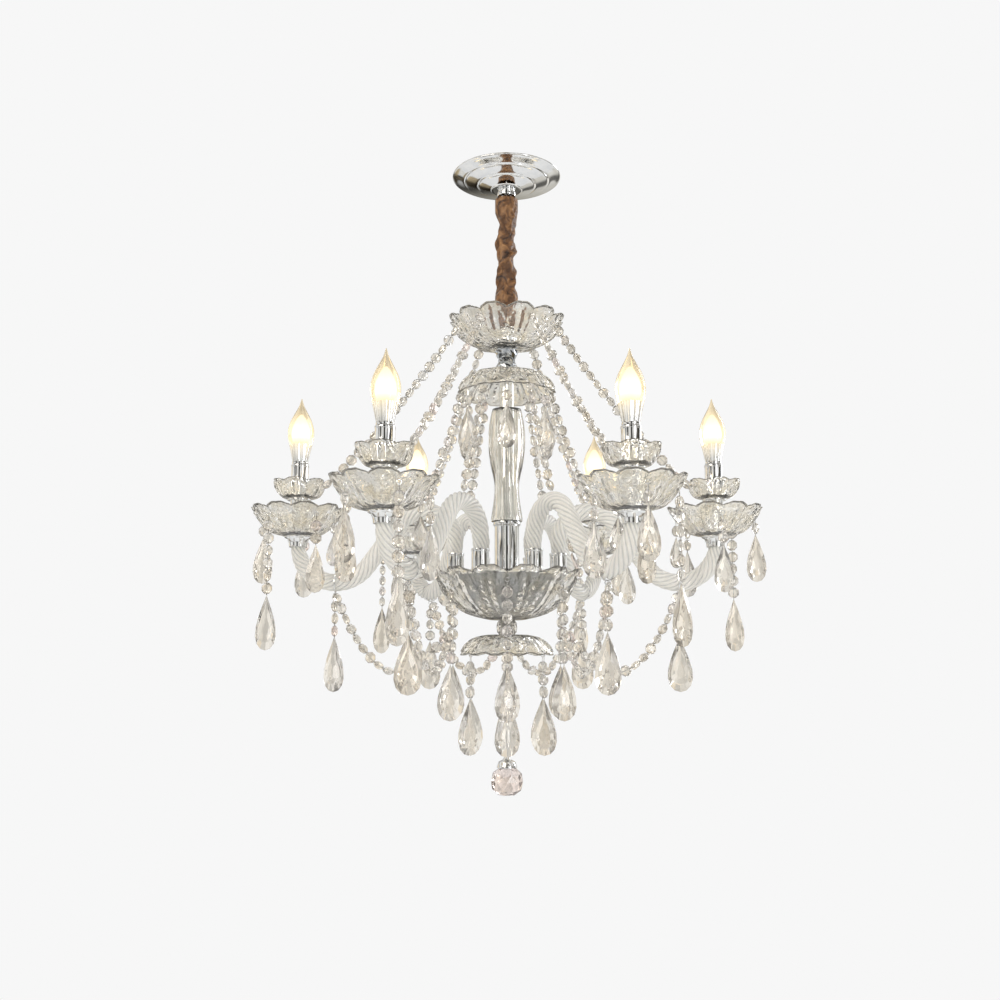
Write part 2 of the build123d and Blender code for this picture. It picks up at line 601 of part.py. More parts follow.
# ---- arms ----------------------------------------------------------------------
def arm_route():
    """Swan-neck centre line in the XZ plane: rise, hump, fall, bow and rise."""
    foot = HUB_TOP + FERRULE_FLOOR + FIT
    span = math.hypot(BOW_X - HUMP_X, BOW_Z - HUMP_Z)
    lean = math.asin((ARM_HUMP_R + ARM_BOW_R) / span) - math.atan2(BOW_Z - HUMP_Z, BOW_X - HUMP_X)
    leave = math.pi / 2 - lean
    hump, bow = Vector(HUMP_X, 0, HUMP_Z), Vector(BOW_X, 0, BOW_Z)
    out = Vector(math.cos(leave), 0, math.sin(leave))
    first, second = hump + out * ARM_HUMP_R, bow - out * ARM_BOW_R
    rise = Line((ARM_ROOT_R, 0, foot), (ARM_ROOT_R, 0, HUMP_Z))
    over = ThreePointArc((ARM_ROOT_R, 0, HUMP_Z), (HUMP_X, 0, HUMP_Z + ARM_HUMP_R), first)
    fall = Line(first, second)
    under = ThreePointArc(second, (BOW_X, 0, BOW_Z - ARM_BOW_R), (ARM_REACH, 0, BOW_Z))
    tip = Line((ARM_REACH, 0, BOW_Z), (ARM_REACH, 0, ARM_TIP_Z - ARM_CAP_FLOOR - FIT))
    return Wire([rise.edge(), over.edge(), fall.edge(), under.edge(), tip.edge()])


def rope_arm():
    """Glass arm drawn as a rope: a lobed section turned steadily along the route."""
    route = arm_route()
    rings = []
    for i in range(ARM_STATIONS + 1):
        t = i / ARM_STATIONS
        past_foot = route.length * t - FERRULE_HEIGHT
        past_tip = route.length * (1 - t) - ARM_CAP_HEIGHT
        grown = max(0.0, min(1.0, past_foot / ARM_SWELL, past_tip / ARM_SWELL))
        swell = ARM_END_R + (ARM_R - ARM_END_R) * grown
        along = route % t
        across, side = along.cross(Vector(0, 1, 0)), Vector(0, 1, 0)
        points = []
        for k in range(2 * ARM_LOBES):
            a = math.pi * k / ARM_LOBES + 2 * math.pi * ARM_TWIST * t
            radius = swell - (ARM_GROOVE if k % 2 else 0)
            points.append((route @ t) + across * (radius * math.cos(a)) + side * (radius * math.sin(a)))
        rings.append(Wire(Polyline(*points, close=True).edges()))
    return Solid.make_loft(rings, ruled=True)


def arm_ferrule():
    """Chrome cup on the hub plate that the arm's foot is cemented into."""
    bore, floor, h = ARM_END_R + SEAT_FIT, FERRULE_FLOOR, FERRULE_HEIGHT
    outer = bore + FERRULE_WALL
    outline = [(SPIGOT_R, 0), (outer, 0), (outer, h), (bore, h), (bore, floor), (SPIGOT_R, floor)]
    return Pos(0, 0, HUB_TOP) * flat_sided(outline)


def arm_end_cap():
    """Chrome seat on the arm's tip that the pan stands on."""
    bore, hole, h, floor = ARM_END_R + SEAT_FIT, SPIGOT_R + FIT, ARM_CAP_HEIGHT, ARM_CAP_FLOOR
    outline = [(hole, 0), (ARM_CAP_R, 0), (ARM_CAP_R, -2), (bore + FERRULE_WALL, -h), (bore, -h),
               (bore, -floor), (hole, -floor)]
    return Pos(0, 0, PAN_Z) * flat_sided(outline)


# ---- candle fittings --------------------------------------------------------------
def drip_pan():
    """Ten-petal pan with a petal tip pointing outwards."""
    pan = petal_bowl(PAN_RIM_R, PAN_HEIGHT, PAN_BASE_R, SPIGOT_R + FIT, PAN_PETALS, 2, belly=PAN_BELLY)
    return Pos(0, 0, PAN_Z) * Rot(0, 0, 180 / PAN_PETALS) * pan


def candle_cup():
    cup = petal_bowl(CANDLE_CUP_RIM_R, CANDLE_CUP_HEIGHT, CANDLE_CUP_BASE_R, CANDLE_TUBE_R + FIT,
                     CANDLE_CUP_PETALS, 2, wall=0.8 * GLASS_WALL)
    return Pos(0, 0, SMALL_CUP_Z) * cup


def candle_tube():
    """Chrome candle with a rolled ring for the small cup and a spigot through the pan."""
    r, bore, wire = CANDLE_TUBE_R, CANDLE_TUBE_R - CANDLE_TUBE_WALL, NIPPLE_BORE_R
    seat, t, top = CANDLE_SEAT_HEIGHT, CANDLE_SEAT_THICKNESS, CANDLE_TUBE_HEIGHT
    outline = [(wire, -SPIGOT_LENGTH), (SPIGOT_R, -SPIGOT_LENGTH), (SPIGOT_R, 0), (r, 0), (r, seat - t),
               (CANDLE_SEAT_R, seat - t), (CANDLE_SEAT_R, seat), (r, seat), (r, top), (bore, top),
               (bore, t), (wire, t)]
    return Pos(0, 0, PAN_FLOOR) * flat_sided(outline)


def lampholder():
    """Socket liner inside the candle tube, open above for the lamp's cap."""
    bore = (LAMP_CAP_R + LAMP_RUNNING_FIT) / math.cos(math.pi / SMALL_SIDES)
    bottom, top, wire = HOLDER_TOP - HOLDER_LENGTH, HOLDER_TOP, NIPPLE_BORE_R
    floor = top - HOLDER_DEPTH
    outline = [(wire, bottom), (HOLDER_R, bottom), (HOLDER_R, top), (bore, top), (bore, floor), (wire, floor)]
    return flat_sided(outline)


def lamp():
    """Flame-tip candle lamp: screw cap, fluted metal body and blown tip in one outline."""
    base, r = TUBE_TOP + LAMP_LIFT, LAMP_R
    belly, tip = base + LAMP_BELLY_HEIGHT, base + LAMP_LENGTH
    blown = tip - belly
    return faceted([(base - LAMP_CAP_LENGTH, LAMP_CAP_R), (base, LAMP_CAP_R), (base, LAMP_SKIRT_R),
                    (base + 0.45 * LAMP_BELLY_HEIGHT, 0.88 * r), (belly, r), (belly + 0.3 * blown, 0.8 * r),
                    (belly + 0.65 * blown, 0.36 * r), (tip, LAMP_TIP_R)], SMALL_SIDES)


# ---- beads and drops ----------------------------------------------------------------
def pan_string(notch, beads, drop_length, drop_r):
    """A string hung in one of the pan's notches, counted from the outward petal."""
    hook_z = notch_height(PAN_RIM_R, PAN_HEIGHT, PAN_BASE_R, PAN_HANG_R - WIRE_R, PAN_BELLY) - HANG_GAP
    turn = 360 / PAN_PETALS * (notch + 0.5)
    piece = string_of_beads(beads, drop_length, drop_r)
    return Pos(ARM_REACH, 0, PAN_Z) * Rot(0, 0, turn) * Pos(PAN_HANG_R, 0, hook_z) * piece


def pan_drops():
    """The other drops of every pan: a long string, two short ones and one over the bow."""
    strings = []
    for n in range(ARMS):
        strings.append(around(pan_string(1, 6, TALL_DROP, SHORT_DROP_R), arm_angle(n)))
        strings.append(around(pan_string(3, 2, SHORT_DROP, SHORT_DROP_R), arm_angle(n)))
        strings.append(around(pan_string(-3, 2, SHORT_DROP, SHORT_DROP_R), arm_angle(n)))
        strings.append(around(pan_string(4, 1, SMALL_DROP, SMALL_DROP_R), arm_angle(n)))
    return Compound(children=strings)


def hung_ring(radius, height, beads, drop_length, drop_r):
    """Equal strings hung on a circle between the arms."""
    strings = []
    for n in range(ARMS):
        piece = string_of_beads(beads, drop_length, drop_r)
        strings.append(around(piece, between_arms(n), radius, height))
    return Compound(children=strings)


def dish_hook(rim_r, height):
    """Radius of the hooks in a hanging dish's notches, and their depth below its top."""
    return notch_r(rim_r) - GLASS_WALL / 2, height * (1 - PETAL_DIP) + HANG_GAP


def column_drops():
    radius, depth = dish_hook(UPPER_DISH_RIM_R, UPPER_DISH_HEIGHT)
    return hung_ring(radius, KNOB_BOTTOM - depth, 1, SHORT_DROP, SHORT_DROP_R)


def lower_dish_drops():
    radius, depth = dish_hook(LOWER_DISH_RIM_R, LOWER_DISH_HEIGHT)
    return hung_ring(radius, BALL_NECK_BOTTOM - depth, 3, TALL_DROP, TALL_DROP_R)


def bowl_string_hook():
    outside = notch_height(MAIN_BOWL_RIM_R, MAIN_BOWL_HEIGHT, MAIN_BOWL_BASE_R, MAIN_HANG_R - WIRE_R)
    return MAIN_BOWL_Z + outside - HANG_GAP


def strands():
    """Long strings from the top bowl to the small cups, and from the upper dish to the arms."""
    top_z = TOP_BOWL_Z - HANG_GAP
    top_z += notch_height(TOP_BOWL_RIM_R, TOP_BOWL_HEIGHT, TOP_BOWL_BASE_R, TOP_HANG_R - WIRE_R)
    cup_z = SMALL_CUP_Z + notch_height(CANDLE_CUP_RIM_R, CANDLE_CUP_HEIGHT, CANDLE_CUP_BASE_R, CUP_HANG_R)
    rim_r, depth = dish_hook(UPPER_DISH_RIM_R, UPPER_DISH_HEIGHT)
    rim_z = KNOB_BOTTOM - depth - HANG_GAP
    hump_z = HUMP_Z + ARM_HUMP_R + ARM_R + HANG_GAP + WIRE_R
    pieces = []
    for n in range(ARMS):
        a = arm_angle(n)
        cup = on_circle(ARM_REACH - CUP_HANG_R - 2 * (WIRE_R + HANG_GAP), a, cup_z)
        pieces.append(strand(on_circle(TOP_HANG_R, a, top_z), cup, 12))
        pieces.append(strand(on_circle(rim_r, a, rim_z), on_circle(HUMP_X, a, hump_z), 6))
    return Compound(children=pieces)


def bow_string():
    """Wire ring round the bottom of the bow, with a string and drop below it."""
    bore = ARM_R + HANG_GAP
    band = tube(bore + 2 * WIRE_R, bore + WIRE_R / 2, 0, ARM_RING_WIDTH)
    ring = Pos(-ARM_RING_WIDTH / 2, 0, 0) * Rot(0, 90, 0) * band
    hung = Pos(0, 0, -bore - WIRE_R) * string_of_beads(3, TALL_DROP, TALL_DROP_R)
    return Pos(BOW_X, 0, BOW_Z - ARM_BOW_R) * (ring + hung)


def garlands():
    """Swags from the bow of each arm to the bowl strings, two arms to a string."""
    start_z = BOW_Z - ARM_BOW_R - ARM_R - 2 * (HANG_GAP + WIRE_R)
    end_z = bowl_string_hook() - HOOK_LENGTH - GARLAND_BEAD * BEAD_PITCH
    pieces = []
    for n in range(ARMS):
        way = 1 if n % 2 else -1
        start = beside(BOW_X, arm_angle(n), way * GARLAND_HOOK_SIDE, start_z)
        end = beside(MAIN_HANG_R + GARLAND_STANDOFF, arm_angle(n + way / 2), -way * GARLAND_SIDE, end_z)
        pieces.append(strand(start, end, GARLAND_SAG))
    return Compound(children=pieces)


# ---- write every node -----------------------------------------------------------------
def save(name, shape):
    shape.label = name
    export_step(shape, f"parts/{name}.step")


def group(piece, radius):
    return Compound(children=[around(piece, arm_angle(n), radius) for n in range(ARMS)])


save("ceiling_bracket", ceiling_bracket())
save("canopy_nipple", canopy_nipple())
save("nipple_nuts", nipple_nuts())
save("canopy", canopy())
save("canopy_loop", canopy_loop())
save("terminal_block", terminal_block())

save("chain_link_top", chain_link(0))
save("chain_links", Compound(children=[chain_link(i) for i in range(1, LINK_COUNT)]))
save("chain_sleeve", chain_sleeve())

save("frame_loop", frame_loop())
save("centre_rod", centre_rod())
save("top_bowl", top_bowl())
save("neck_knob", neck_knob())
save("upper_dish", upper_dish())
save("column_liner", column_liner())
save("glass_column", glass_column())
save("lower_column", lower_column())
save("hub_plate", hub_plate())
save("hub_bowl", hub_bowl())
save("main_bowl", main_bowl())
save("neck_ball", neck_ball())
save("lower_dish", lower_dish())
save("finial_rod", finial_rod())
save("crystal_ball", crystal_ball())

arm, pan, bulb = rope_arm(), drip_pan(), lamp()
outer_drop = pan_string(-1, 1, SHORT_DROP, SHORT_DROP_R)
for n in range(ARMS):
    save(f"arm_{n + 1}", around(arm, arm_angle(n)))
    save(f"drip_pan_{n + 1}", around(pan, arm_angle(n), ARM_REACH))
    save(f"bulb_{n + 1}", around(bulb, arm_angle(n), ARM_REACH))
    save(f"outer_drop_{n + 1}", around(outer_drop, arm_angle(n)))

save("arm_ferrules", group(arm_ferrule(), ARM_ROOT_R))
save("arm_end_caps", group(arm_end_cap(), ARM_REACH))
save("candle_cups", group(candle_cup(), ARM_REACH))
save("candle_tubes", group(candle_tube(), ARM_REACH))
save("lampholders", group(lampholder(), ARM_REACH))

save("bead_strands", strands())
save("garlands", garlands())
save("pan_drops", pan_drops())
save("column_drops", column_drops())
save("bowl_strings", hung_ring(MAIN_HANG_R, bowl_string_hook(), 6, TALL_DROP, TALL_DROP_R))
save("lower_dish_drops", lower_dish_drops())
save("bow_drops", group(bow_string(), 0))
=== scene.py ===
"""Six-arm crystal chandelier: glass, chrome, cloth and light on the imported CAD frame."""
import math
import random

import bmesh
import bpy
from mathutils import Matrix, Vector

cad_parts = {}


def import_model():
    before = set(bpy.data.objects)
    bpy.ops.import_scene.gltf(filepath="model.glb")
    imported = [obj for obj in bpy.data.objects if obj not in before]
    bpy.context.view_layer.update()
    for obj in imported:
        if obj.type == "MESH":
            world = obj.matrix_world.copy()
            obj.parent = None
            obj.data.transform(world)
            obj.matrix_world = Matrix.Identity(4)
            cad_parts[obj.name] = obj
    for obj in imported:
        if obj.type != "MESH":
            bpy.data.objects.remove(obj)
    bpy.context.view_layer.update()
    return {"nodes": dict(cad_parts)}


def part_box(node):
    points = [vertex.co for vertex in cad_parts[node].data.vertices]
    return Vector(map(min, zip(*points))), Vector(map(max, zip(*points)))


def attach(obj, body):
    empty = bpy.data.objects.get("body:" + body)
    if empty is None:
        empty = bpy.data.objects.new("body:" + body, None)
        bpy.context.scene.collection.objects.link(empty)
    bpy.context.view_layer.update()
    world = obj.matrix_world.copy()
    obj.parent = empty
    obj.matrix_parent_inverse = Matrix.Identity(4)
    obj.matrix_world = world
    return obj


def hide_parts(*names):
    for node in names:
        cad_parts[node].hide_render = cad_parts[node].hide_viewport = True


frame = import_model()

# ---- sizes, in metres; the other heights come from the frame
MM = 0.001
ARMS = 6
ARM_REACH = 0.266  # hanging axis to a candle
ARM_ROOT_R = 0.0655  # hanging axis to an arm's foot
ARM_R = 0.011
ARM_END_R = 0.009
ARM_HUMP_R = 0.1995 * (ARM_REACH - ARM_ROOT_R)
ARM_BOW_R = 0.2444 * (ARM_REACH - ARM_ROOT_R)
ARM_BOW_DROP = 0.002  # bow's centre below the hump's
ARM_HUMP_RISE = 0.040  # hub plate to the hump's centre
ARM_FOOT_GAP = 0.0023  # hub plate to the glass, inside the ferrule
ARM_TIP_GAP = 0.0033  # pan to the glass, inside the end cap
ARM_FLUTES = 10  # ridges round the drawn glass rope
ARM_FLUTE_DEPTH = 0.0017
ARM_FLUTE_POINTS = 6  # points across one ridge
ARM_TURNS = 3.6
ARM_SLIM = (0.026, 0.014)  # slim length at the foot and at the tip, in the metal seats
ARM_GROWTH = 0.02  # length in which it grows to its full width
NECK_LOW_Z = -0.029  # underside of the canopy's neck
FRAME_LOOP_TOP_Z = -0.2105
FINIAL_FOOT_Z = -0.7735  # underside of the finial's foot, on the ball
LOOP_R = 0.0055
LOOP_WIRE_R = 0.00175
LOOP_CENTRE = 0.0042  # a loop's centre from the metal that holds it
LINK_BEND_R = 0.007
LINK_WIRE_R = 0.0015
LINK_LENGTH = 0.027  # centre line, end to end
LINK_GAP = 0.0003
SLEEVE_END_R = 0.0150
SLEEVE_DRAWN_IN = 0.0028  # mean radius lost where the folds are
SLEEVE_REACH_R = (0.0100, 0.0154)  # least and most radius, clear of the links inside
SLEEVE_FOLDS = (0.0016, 0.0013, 0.0010)  # heights of the wide, middle and narrow folds
SLEEVE_CRUSH = 0.0006  # height of each ridge that crosses the folds
SLEEVE_PLEAT = 0.00025  # fine gathers where the ends are tied
SLEEVE_SWAY = 0.0011  # sideways wander of the tube
SLEEVE_CLOTH = 0.0005  # thickness
ROD_BORE_R = 0.0053
TUBE_BORE_R = 0.0113  # a candle cup's hole
GLASS_WALL = 0.003
CUP_WALL = 0.0024
BOWL_BASE = 0.004
PETAL_PULL = 0.1  # a notch lies this share of the rim radius inside the petal tips
PETAL_DIP = 0.13  # and this share of the height below them
PETAL_FLUTE = 0.05
RIM_TOOTH = 0.012  # scallops on the rim, as a share of the height
RIB_HEIGHT, RIB_WIDTH = 0.0022, 0.09  # widths are shares of a petal
FLUTE_HEIGHT = 0.0016
BORDER_HEIGHT, BORDER_WIDTH = 0.0013, 0.045
BORDER_RELIEF = 0.4  # share of the ribs left beyond the border
NOTCH_DEPTH = 0.0018
BOWL_BELLY = (0.69, 0.43)  # belly's share of the way out, and up
PAN_BELLY = (0.56, 0.38)
BOWL_PETALS = 12
PAN_PETALS = 10
CUP_PETALS = 6
LAMP_FLUTES = 9  # round the lamp's metal cone
LAMP_FLUTE_DEPTH = 0.0016
LAMP_FLUTE_R = 0.017  # radius at which a flute would be that deep
TOP_BOWL = (0.076, 0.042, 0.017)  # radius of the rim, height, radius of the base
PAN = (0.061, 0.037, 0.019)
CUP = (0.0335, 0.024, 0.017)
BEAD_R = 0.0073
BEAD_DEPTH = 0.0076
BEAD_PITCH = 0.0155
STRAND_PITCH = 0.0146  # beads touch on the long strands
STONE_TURN = 0.6  # most that a hanging stone turns on its wire, in radians
HOOK_LENGTH = 0.010
HOOK_RING_R = 0.0025
HOOK_WIRE_R = 0.0005
WIRE_R = 0.0006
HANG_GAP = 0.0003
PAN_HANG_R = 0.050
TOP_HANG_R = 0.064
MAIN_HANG_R = 0.080
CUP_HANG_R = 0.028
COLUMN_HANG_R = 0.057
DISH_HANG_R = 0.0525
BOW_RING_GAP = 0.0012  # rope to the wire ring round it
BOW_RING_WIRE_R = 0.0008
CUP_STANDOFF = 0.0024  # a strand's end outside the cup
CUP_STRAND_SAG = 0.012
ARM_STRAND_SAG = 0.006
GARLAND_SAG = 0.072
GARLAND_STANDOFF = 0.004  # garland's end outside the bowl string that it is tied to
GARLAND_SIDE = 0.0035  # and to one side of it
GARLAND_BEAD = 3.5  # pitches down to the middle of the bead that it meets
GARLAND_HOOK_SIDE = 0.0032  # its other end, beside the bow's own drop
TALL_DROP = (0.034, 0.068, 0.013)  # width, height and depth of the pear drops
SHORT_DROP = (0.027, 0.060, 0.011)
SMALL_DROP = (0.022, 0.040, 0.010)
LONG_DROP = (0.027, 0.068, 0.011)
FLOOR_Z = -2.0
FLOOR_R = 3.0
LIGHTS_AIM = Vector((0, 0, -0.45))  # middle of the chandelier


def top(node):
    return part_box(node)[1].z


def bottom(node):
    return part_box(node)[0].z


def ends_of(node):
    return bottom(node), top(node)


HUB_TOP = top("hub_plate")
HUMP_Z = HUB_TOP + ARM_HUMP_RISE
BOW_Z = HUMP_Z - ARM_BOW_DROP
HUMP_X = ARM_ROOT_R + ARM_HUMP_R
BOW_X = ARM_REACH - ARM_BOW_R
PAN_Z = bottom("drip_pan_1")
CUP_Z = bottom("candle_cups")


# ---- gathering and placing geometry
class Shape:
    """Points and faces of one piece, gathered part by part with each face's finish."""

    def __init__(self):
        self.points, self.faces, self.finish = [], [], []

    def add(self, rings, finish=0, place=None, joined=False, capped=True, accents=()):
        """Skin over closed rings of points; joined closes the last onto the first.

        Accents are the places in a ring that take the next finish.
        """
        start = len(self.points)
        place = place or Matrix()
        size = len(rings[0])
        for ring in rings:
            self.points += [place @ Vector(p) for p in ring]
        last = len(rings) - 1
        for a in range(last + joined):
            b = (a + 1) % len(rings)
            for k in range(size):
                j = (k + 1) % size
                quad = (a * size + k, a * size + j, b * size + j, b * size + k)
                self.faces.append([start + i for i in quad])
                self.finish.append(finish + (k in accents))
        if capped and not joined:
            for i in (0, last):
                self.faces.append([start + i * size + k for k in range(size)])
                self.finish.append(finish)


def spun(angle):
    return Matrix.Rotation(angle, 4, "Z")


def lifted(height):
    return Matrix.Translation((0, 0, height))


def around(n, radius=0.0, height=0.0):
    """Place a shape at arm n, out along its own X."""
    return spun(2 * math.pi * n / ARMS) @ Matrix.Translation((radius, 0, height))


def mm(points, base=0.0):
    """(radius, height) points in millimetres as metres, the heights counted from a base."""
    return [(r * MM, base + z * MM) for r, z in points]


def circle(radius, height, sides, shift=0.0):
    """Points round the axis; a shift turns them by that share of a side."""
    return [(radius * math.cos(a), radius * math.sin(a), height)
            for a in (2 * math.pi * (k + shift) / sides for k in range(sides))]


def hoop(centre, across, side, radius, sides):
    """Points round a centre, in the plane of two directions."""
    return [centre + across * (radius * math.cos(a)) + side * (radius * math.sin(a))
            for a in (2 * math.pi * k / sides for k in range(sides))]


def turned(profile, sides=48):
    """Rings of a turned piece; a zero radius makes a point on the axis."""
    return [circle(max(r, 1e-6), z, sides) for r, z in profile]


def flowing(points, steps=5):
    """A smooth line through given (radius, height) points."""
    line = []
    ends = [points[0]] + list(points) + [points[-1]]
    for a, b, c, d in zip(ends, ends[1:], ends[2:], ends[3:]):
        for i in range(steps):
            t = i / steps
            line.append(tuple(0.5 * (2 * q + (r - p) * t + (2 * p - 5 * q + 4 * r - s) * t * t
                                     + (3 * q - p - 3 * r + s) * t ** 3)
                              for p, q, r, s in zip(a, b, c, d)))
    return line + [points[-1]]


def eased(points, by=0.0005):
    """The corners of a closed outline rounded off, as on spun and turned metal."""
    out = []
    count = len(points)
    for i, corner in enumerate(points):
        corner = Vector(corner)
        legs = [Vector(points[i - 1]) - corner, Vector(points[(i + 1) % count]) - corner]
        cut = min(by, 0.4 * legs[0].length, 0.4 * legs[1].length)
        first, last = (corner + leg.normalized() * cut for leg in legs)
        middle = (first + last) * 0.3 + corner * 0.4
        out += [tuple(first), tuple(middle), tuple(last)]
    return out


def even_steps(line, count):
    """Points and directions at equal distances along a line of points, and its length."""
    lengths = [0.0]
    for a, b in zip(line, line[1:]):
        lengths.append(lengths[-1] + (b - a).length)
    points, j = [], 0
    for i in range(count + 1):
        want = lengths[-1] * i / count
        while j < len(line) - 2 and lengths[j + 1] < want:
            j += 1
        share = (want - lengths[j]) / (lengths[j + 1] - lengths[j])
        points.append(line[j].lerp(line[j + 1], share))
    directions = [(points[min(i + 1, count)] - points[max(i - 1, 0)]).normalized()
                  for i in range(count + 1)]
    return points, directions, lengths[-1]


def put_in_scene(name, data):
    made = bpy.data.objects.new(name, data)
    bpy.context.collection.objects.link(made)
    return made


def seat_piece(name, mesh, node, body="chandelier"):
    """Make a mesh an object that rides on a body and stands for a CAD node."""
    piece = put_in_scene(name, mesh)
    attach(piece, body)
    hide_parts(node)
    return piece


def make_piece(name, shape, materials, node, body="chandelier", crease=32,
               flat=False):
    """Turn a shape into a piece: its mesh, its materials and its sharp and smooth edges."""
    mesh = bpy.data.meshes.new(name)
    mesh.from_pydata([tuple(p) for p in shape.points], [], shape.faces)
    for material in materials:
        mesh.materials.append(material)
    mesh.polygons.foreach_set("material_index", shape.finish)
    work = bmesh.new()
    work.from_mesh(mesh)
    bmesh.ops.remove_doubles(work, verts=work.verts, dist=2e-6)
    bmesh.ops.recalc_face_normals(work, faces=work.faces)
    for face in work.faces:
        face.smooth = not flat
    for edge in work.edges:
        edge.smooth = len(edge.link_faces) == 2 and edge.calc_face_angle(0) < math.radians(crease)
    work.to_mesh(mesh)
    work.free()
    return seat_piece(name, mesh, node, body)


# ---- materials
def linear(colour):
    """sRGB hex to a linear RGBA colour."""
    parts = [int(colour[i:i + 2], 16) / 255 for i in (1, 3, 5)]
    return tuple(c / 12.92 if c <= 0.04045 else ((c + 0.055) / 1.055) ** 2.4
                 for c in parts) + (1.0,)


def add_node(tree, kind, inputs=None, stops=None, **settings):
    """One node with its settings, its values or links, and a colour ramp's stops."""
    made = tree.nodes.new(kind)
    for key, value in settings.items():
        setattr(made, key, value)
    for key, value in (inputs or {}).items():
        if isinstance(value, bpy.types.NodeSocket):
            tree.links.new(value, made.inputs[key])
        else:
            made.inputs[key].default_value = value
    for i, (place, colour) in enumerate(stops or ()):
        element = made.color_ramp.elements[i] if i < 2 else made.color_ramp.elements.new(place)
        element.position = place
        element.color = linear(colour)
    return made


def per_metre(size_mm):
    """Texture scale at which one cell of the pattern is that wide."""
    return 1000.0 / size_mm


def new_material(name):
    material = bpy.data.materials.new(name)
    material.use_nodes = True
    material.node_tree.nodes.clear()
    return material, material.node_tree


def grained(name, cell_mm, detail, stops, stretch=None, distortion=0.0):
    """Start a material with its grain, and with the colours that the grain runs through."""
    material, tree = new_material(name)
    where = add_node(tree, "ShaderNodeTexCoord").outputs["Object"]
    if stretch:
        where = add_node(tree, "ShaderNodeMapping", {"Vector": where, "Scale": stretch}).outputs[0]
    grain = add_node(tree, "ShaderNodeTexNoise", {
        "Vector": where, "Scale": per_metre(cell_mm), "Detail": detail, "Distortion": distortion})
    tint = add_node(tree, "ShaderNodeValToRGB", {"Fac": grain.outputs["Fac"]}, stops)
    return material, tree, where, grain.outputs["Fac"], tint.outputs["Color"]


def finished(material, surface, relief=None):
    """Close a material with its surface; relief is a pattern, its strength and its depth."""
    tree = material.node_tree
    if relief:
        bump = add_node(tree, "ShaderNodeBump", {
            "Height": relief[0], "Strength": relief[1], "Distance": relief[2]})
        surface["Normal"] = bump.outputs["Normal"]
    shader = add_node(tree, "ShaderNodeBsdfPrincipled", surface)
    add_node(tree, "ShaderNodeOutputMaterial", {"Surface": shader.outputs["BSDF"]})
    return material


def bright_metal(name, cell_mm, detail, stops, duller):
    """Metal under a faint bloom, which the colour and the roughness both follow."""
    material, tree, _, bloom, tint = grained(name, cell_mm, detail, stops)
    rough = add_node(tree, "ShaderNodeMapRange", {
        "Value": bloom, "To Min": duller[0], "To Max": duller[1]})
    return finished(material, {
        "Base Color": tint, "Metallic": 1.0, "Roughness": rough.outputs["Result"]})


def moulded_plastic(name, dark, pale):
    """Moulded plastic of the terminal block and lampholders: a fine satin grain."""
    material, _, _, grain, tint = grained(name, 0.8, 3.0, [(0.3, dark), (0.7, pale)])
    return finished(material, {"Base Color": tint, "Roughness": 0.45}, (grain, 0.2, 0.0001))


def pressed_glass():
    """Pressed soda glass: clear and a little warm. The mould left soft hobnails that sparkle."""
    material, tree, where, ripple, tint = grained(
        "pressed_soda_glass", 16, 1.0, [(0.35, "#fbf6ea"), (0.65, "#ffffff")])
    hobnail = add_node(tree, "ShaderNodeTexVoronoi", {
        "Vector": where, "Scale": per_metre(5.5), "Smoothness": 0.5}, feature="SMOOTH_F1")
    mould = add_node(tree, "ShaderNodeMath", {0: ripple, 1: hobnail.outputs["Distance"]},
                     operation="SUBTRACT")
    return finished(material, {
        "Base Color": tint, "Roughness": 0.0, "IOR": 1.52, "Transmission Weight": 0.94},
        (mould.outputs["Value"], 0.65, 0.0013))


def blown_glass():
    """Blown clear glass of the column: smooth and bright, with long faint draw lines."""
    material, _, _, draw, tint = grained(
        "blown_clear_glass", 8, 2.0, [(0.35, "#f4f2ec"), (0.65, "#fdfdfb")], (1.0, 1.0, 0.08))
    return finished(material, {
        "Base Color": tint, "Roughness": 0.01, "IOR": 1.5, "Transmission Weight": 0.96},
        (draw, 0.15, 0.0008))


def rim_glass_painted_shade():
    """Rim of pressed glass, painted darker than the walls: painted shade for the dark line that a
    rim shows when it is seen end-on.
    """
    material, *_, tint = grained(
        "pressed_glass_rim_painted_shade", 2.5, 4.0, [(0.35, "#8b867b"), (0.65, "#cbc6ba")])
    return finished(material, {
        "Base Color": tint, "Roughness": 0.12, "IOR": 1.52, "Transmission Weight": 0.8})


def rope_glass(name, deep, pale, clear):
    """Drawn and twisted glass with fine seed streaks, more or less milky."""
    material, _, _, streak, tint = grained(name, 5, 5.0, [(0.3, deep), (0.7, pale)])
    return finished(material, {
        "Base Color": tint, "Roughness": 0.06, "IOR": 1.5, "Transmission Weight": clear},
        (streak, 0.3, 0.0006))


def cut_crystal():
    """Machine-cut lead crystal: sharp flat facets, high index, each stone a little different."""
    material, tree = new_material("cut_lead_crystal")
    stone = add_node(tree, "ShaderNodeNewGeometry").outputs["Random Per Island"]
    tint = add_node(tree, "ShaderNodeValToRGB", {"Fac": stone}, [
        (0.0, "#fbf4e9"), (1.0, "#ffffff"), (0.5, "#faf7f2"), (0.9, "#fbf8f4"), (0.95, "#fbeee9")])
    return finished(material, {
        "Base Color": tint.outputs["Color"], "Roughness": 0.01, "IOR": 1.58,
        "Transmission Weight": 0.9})


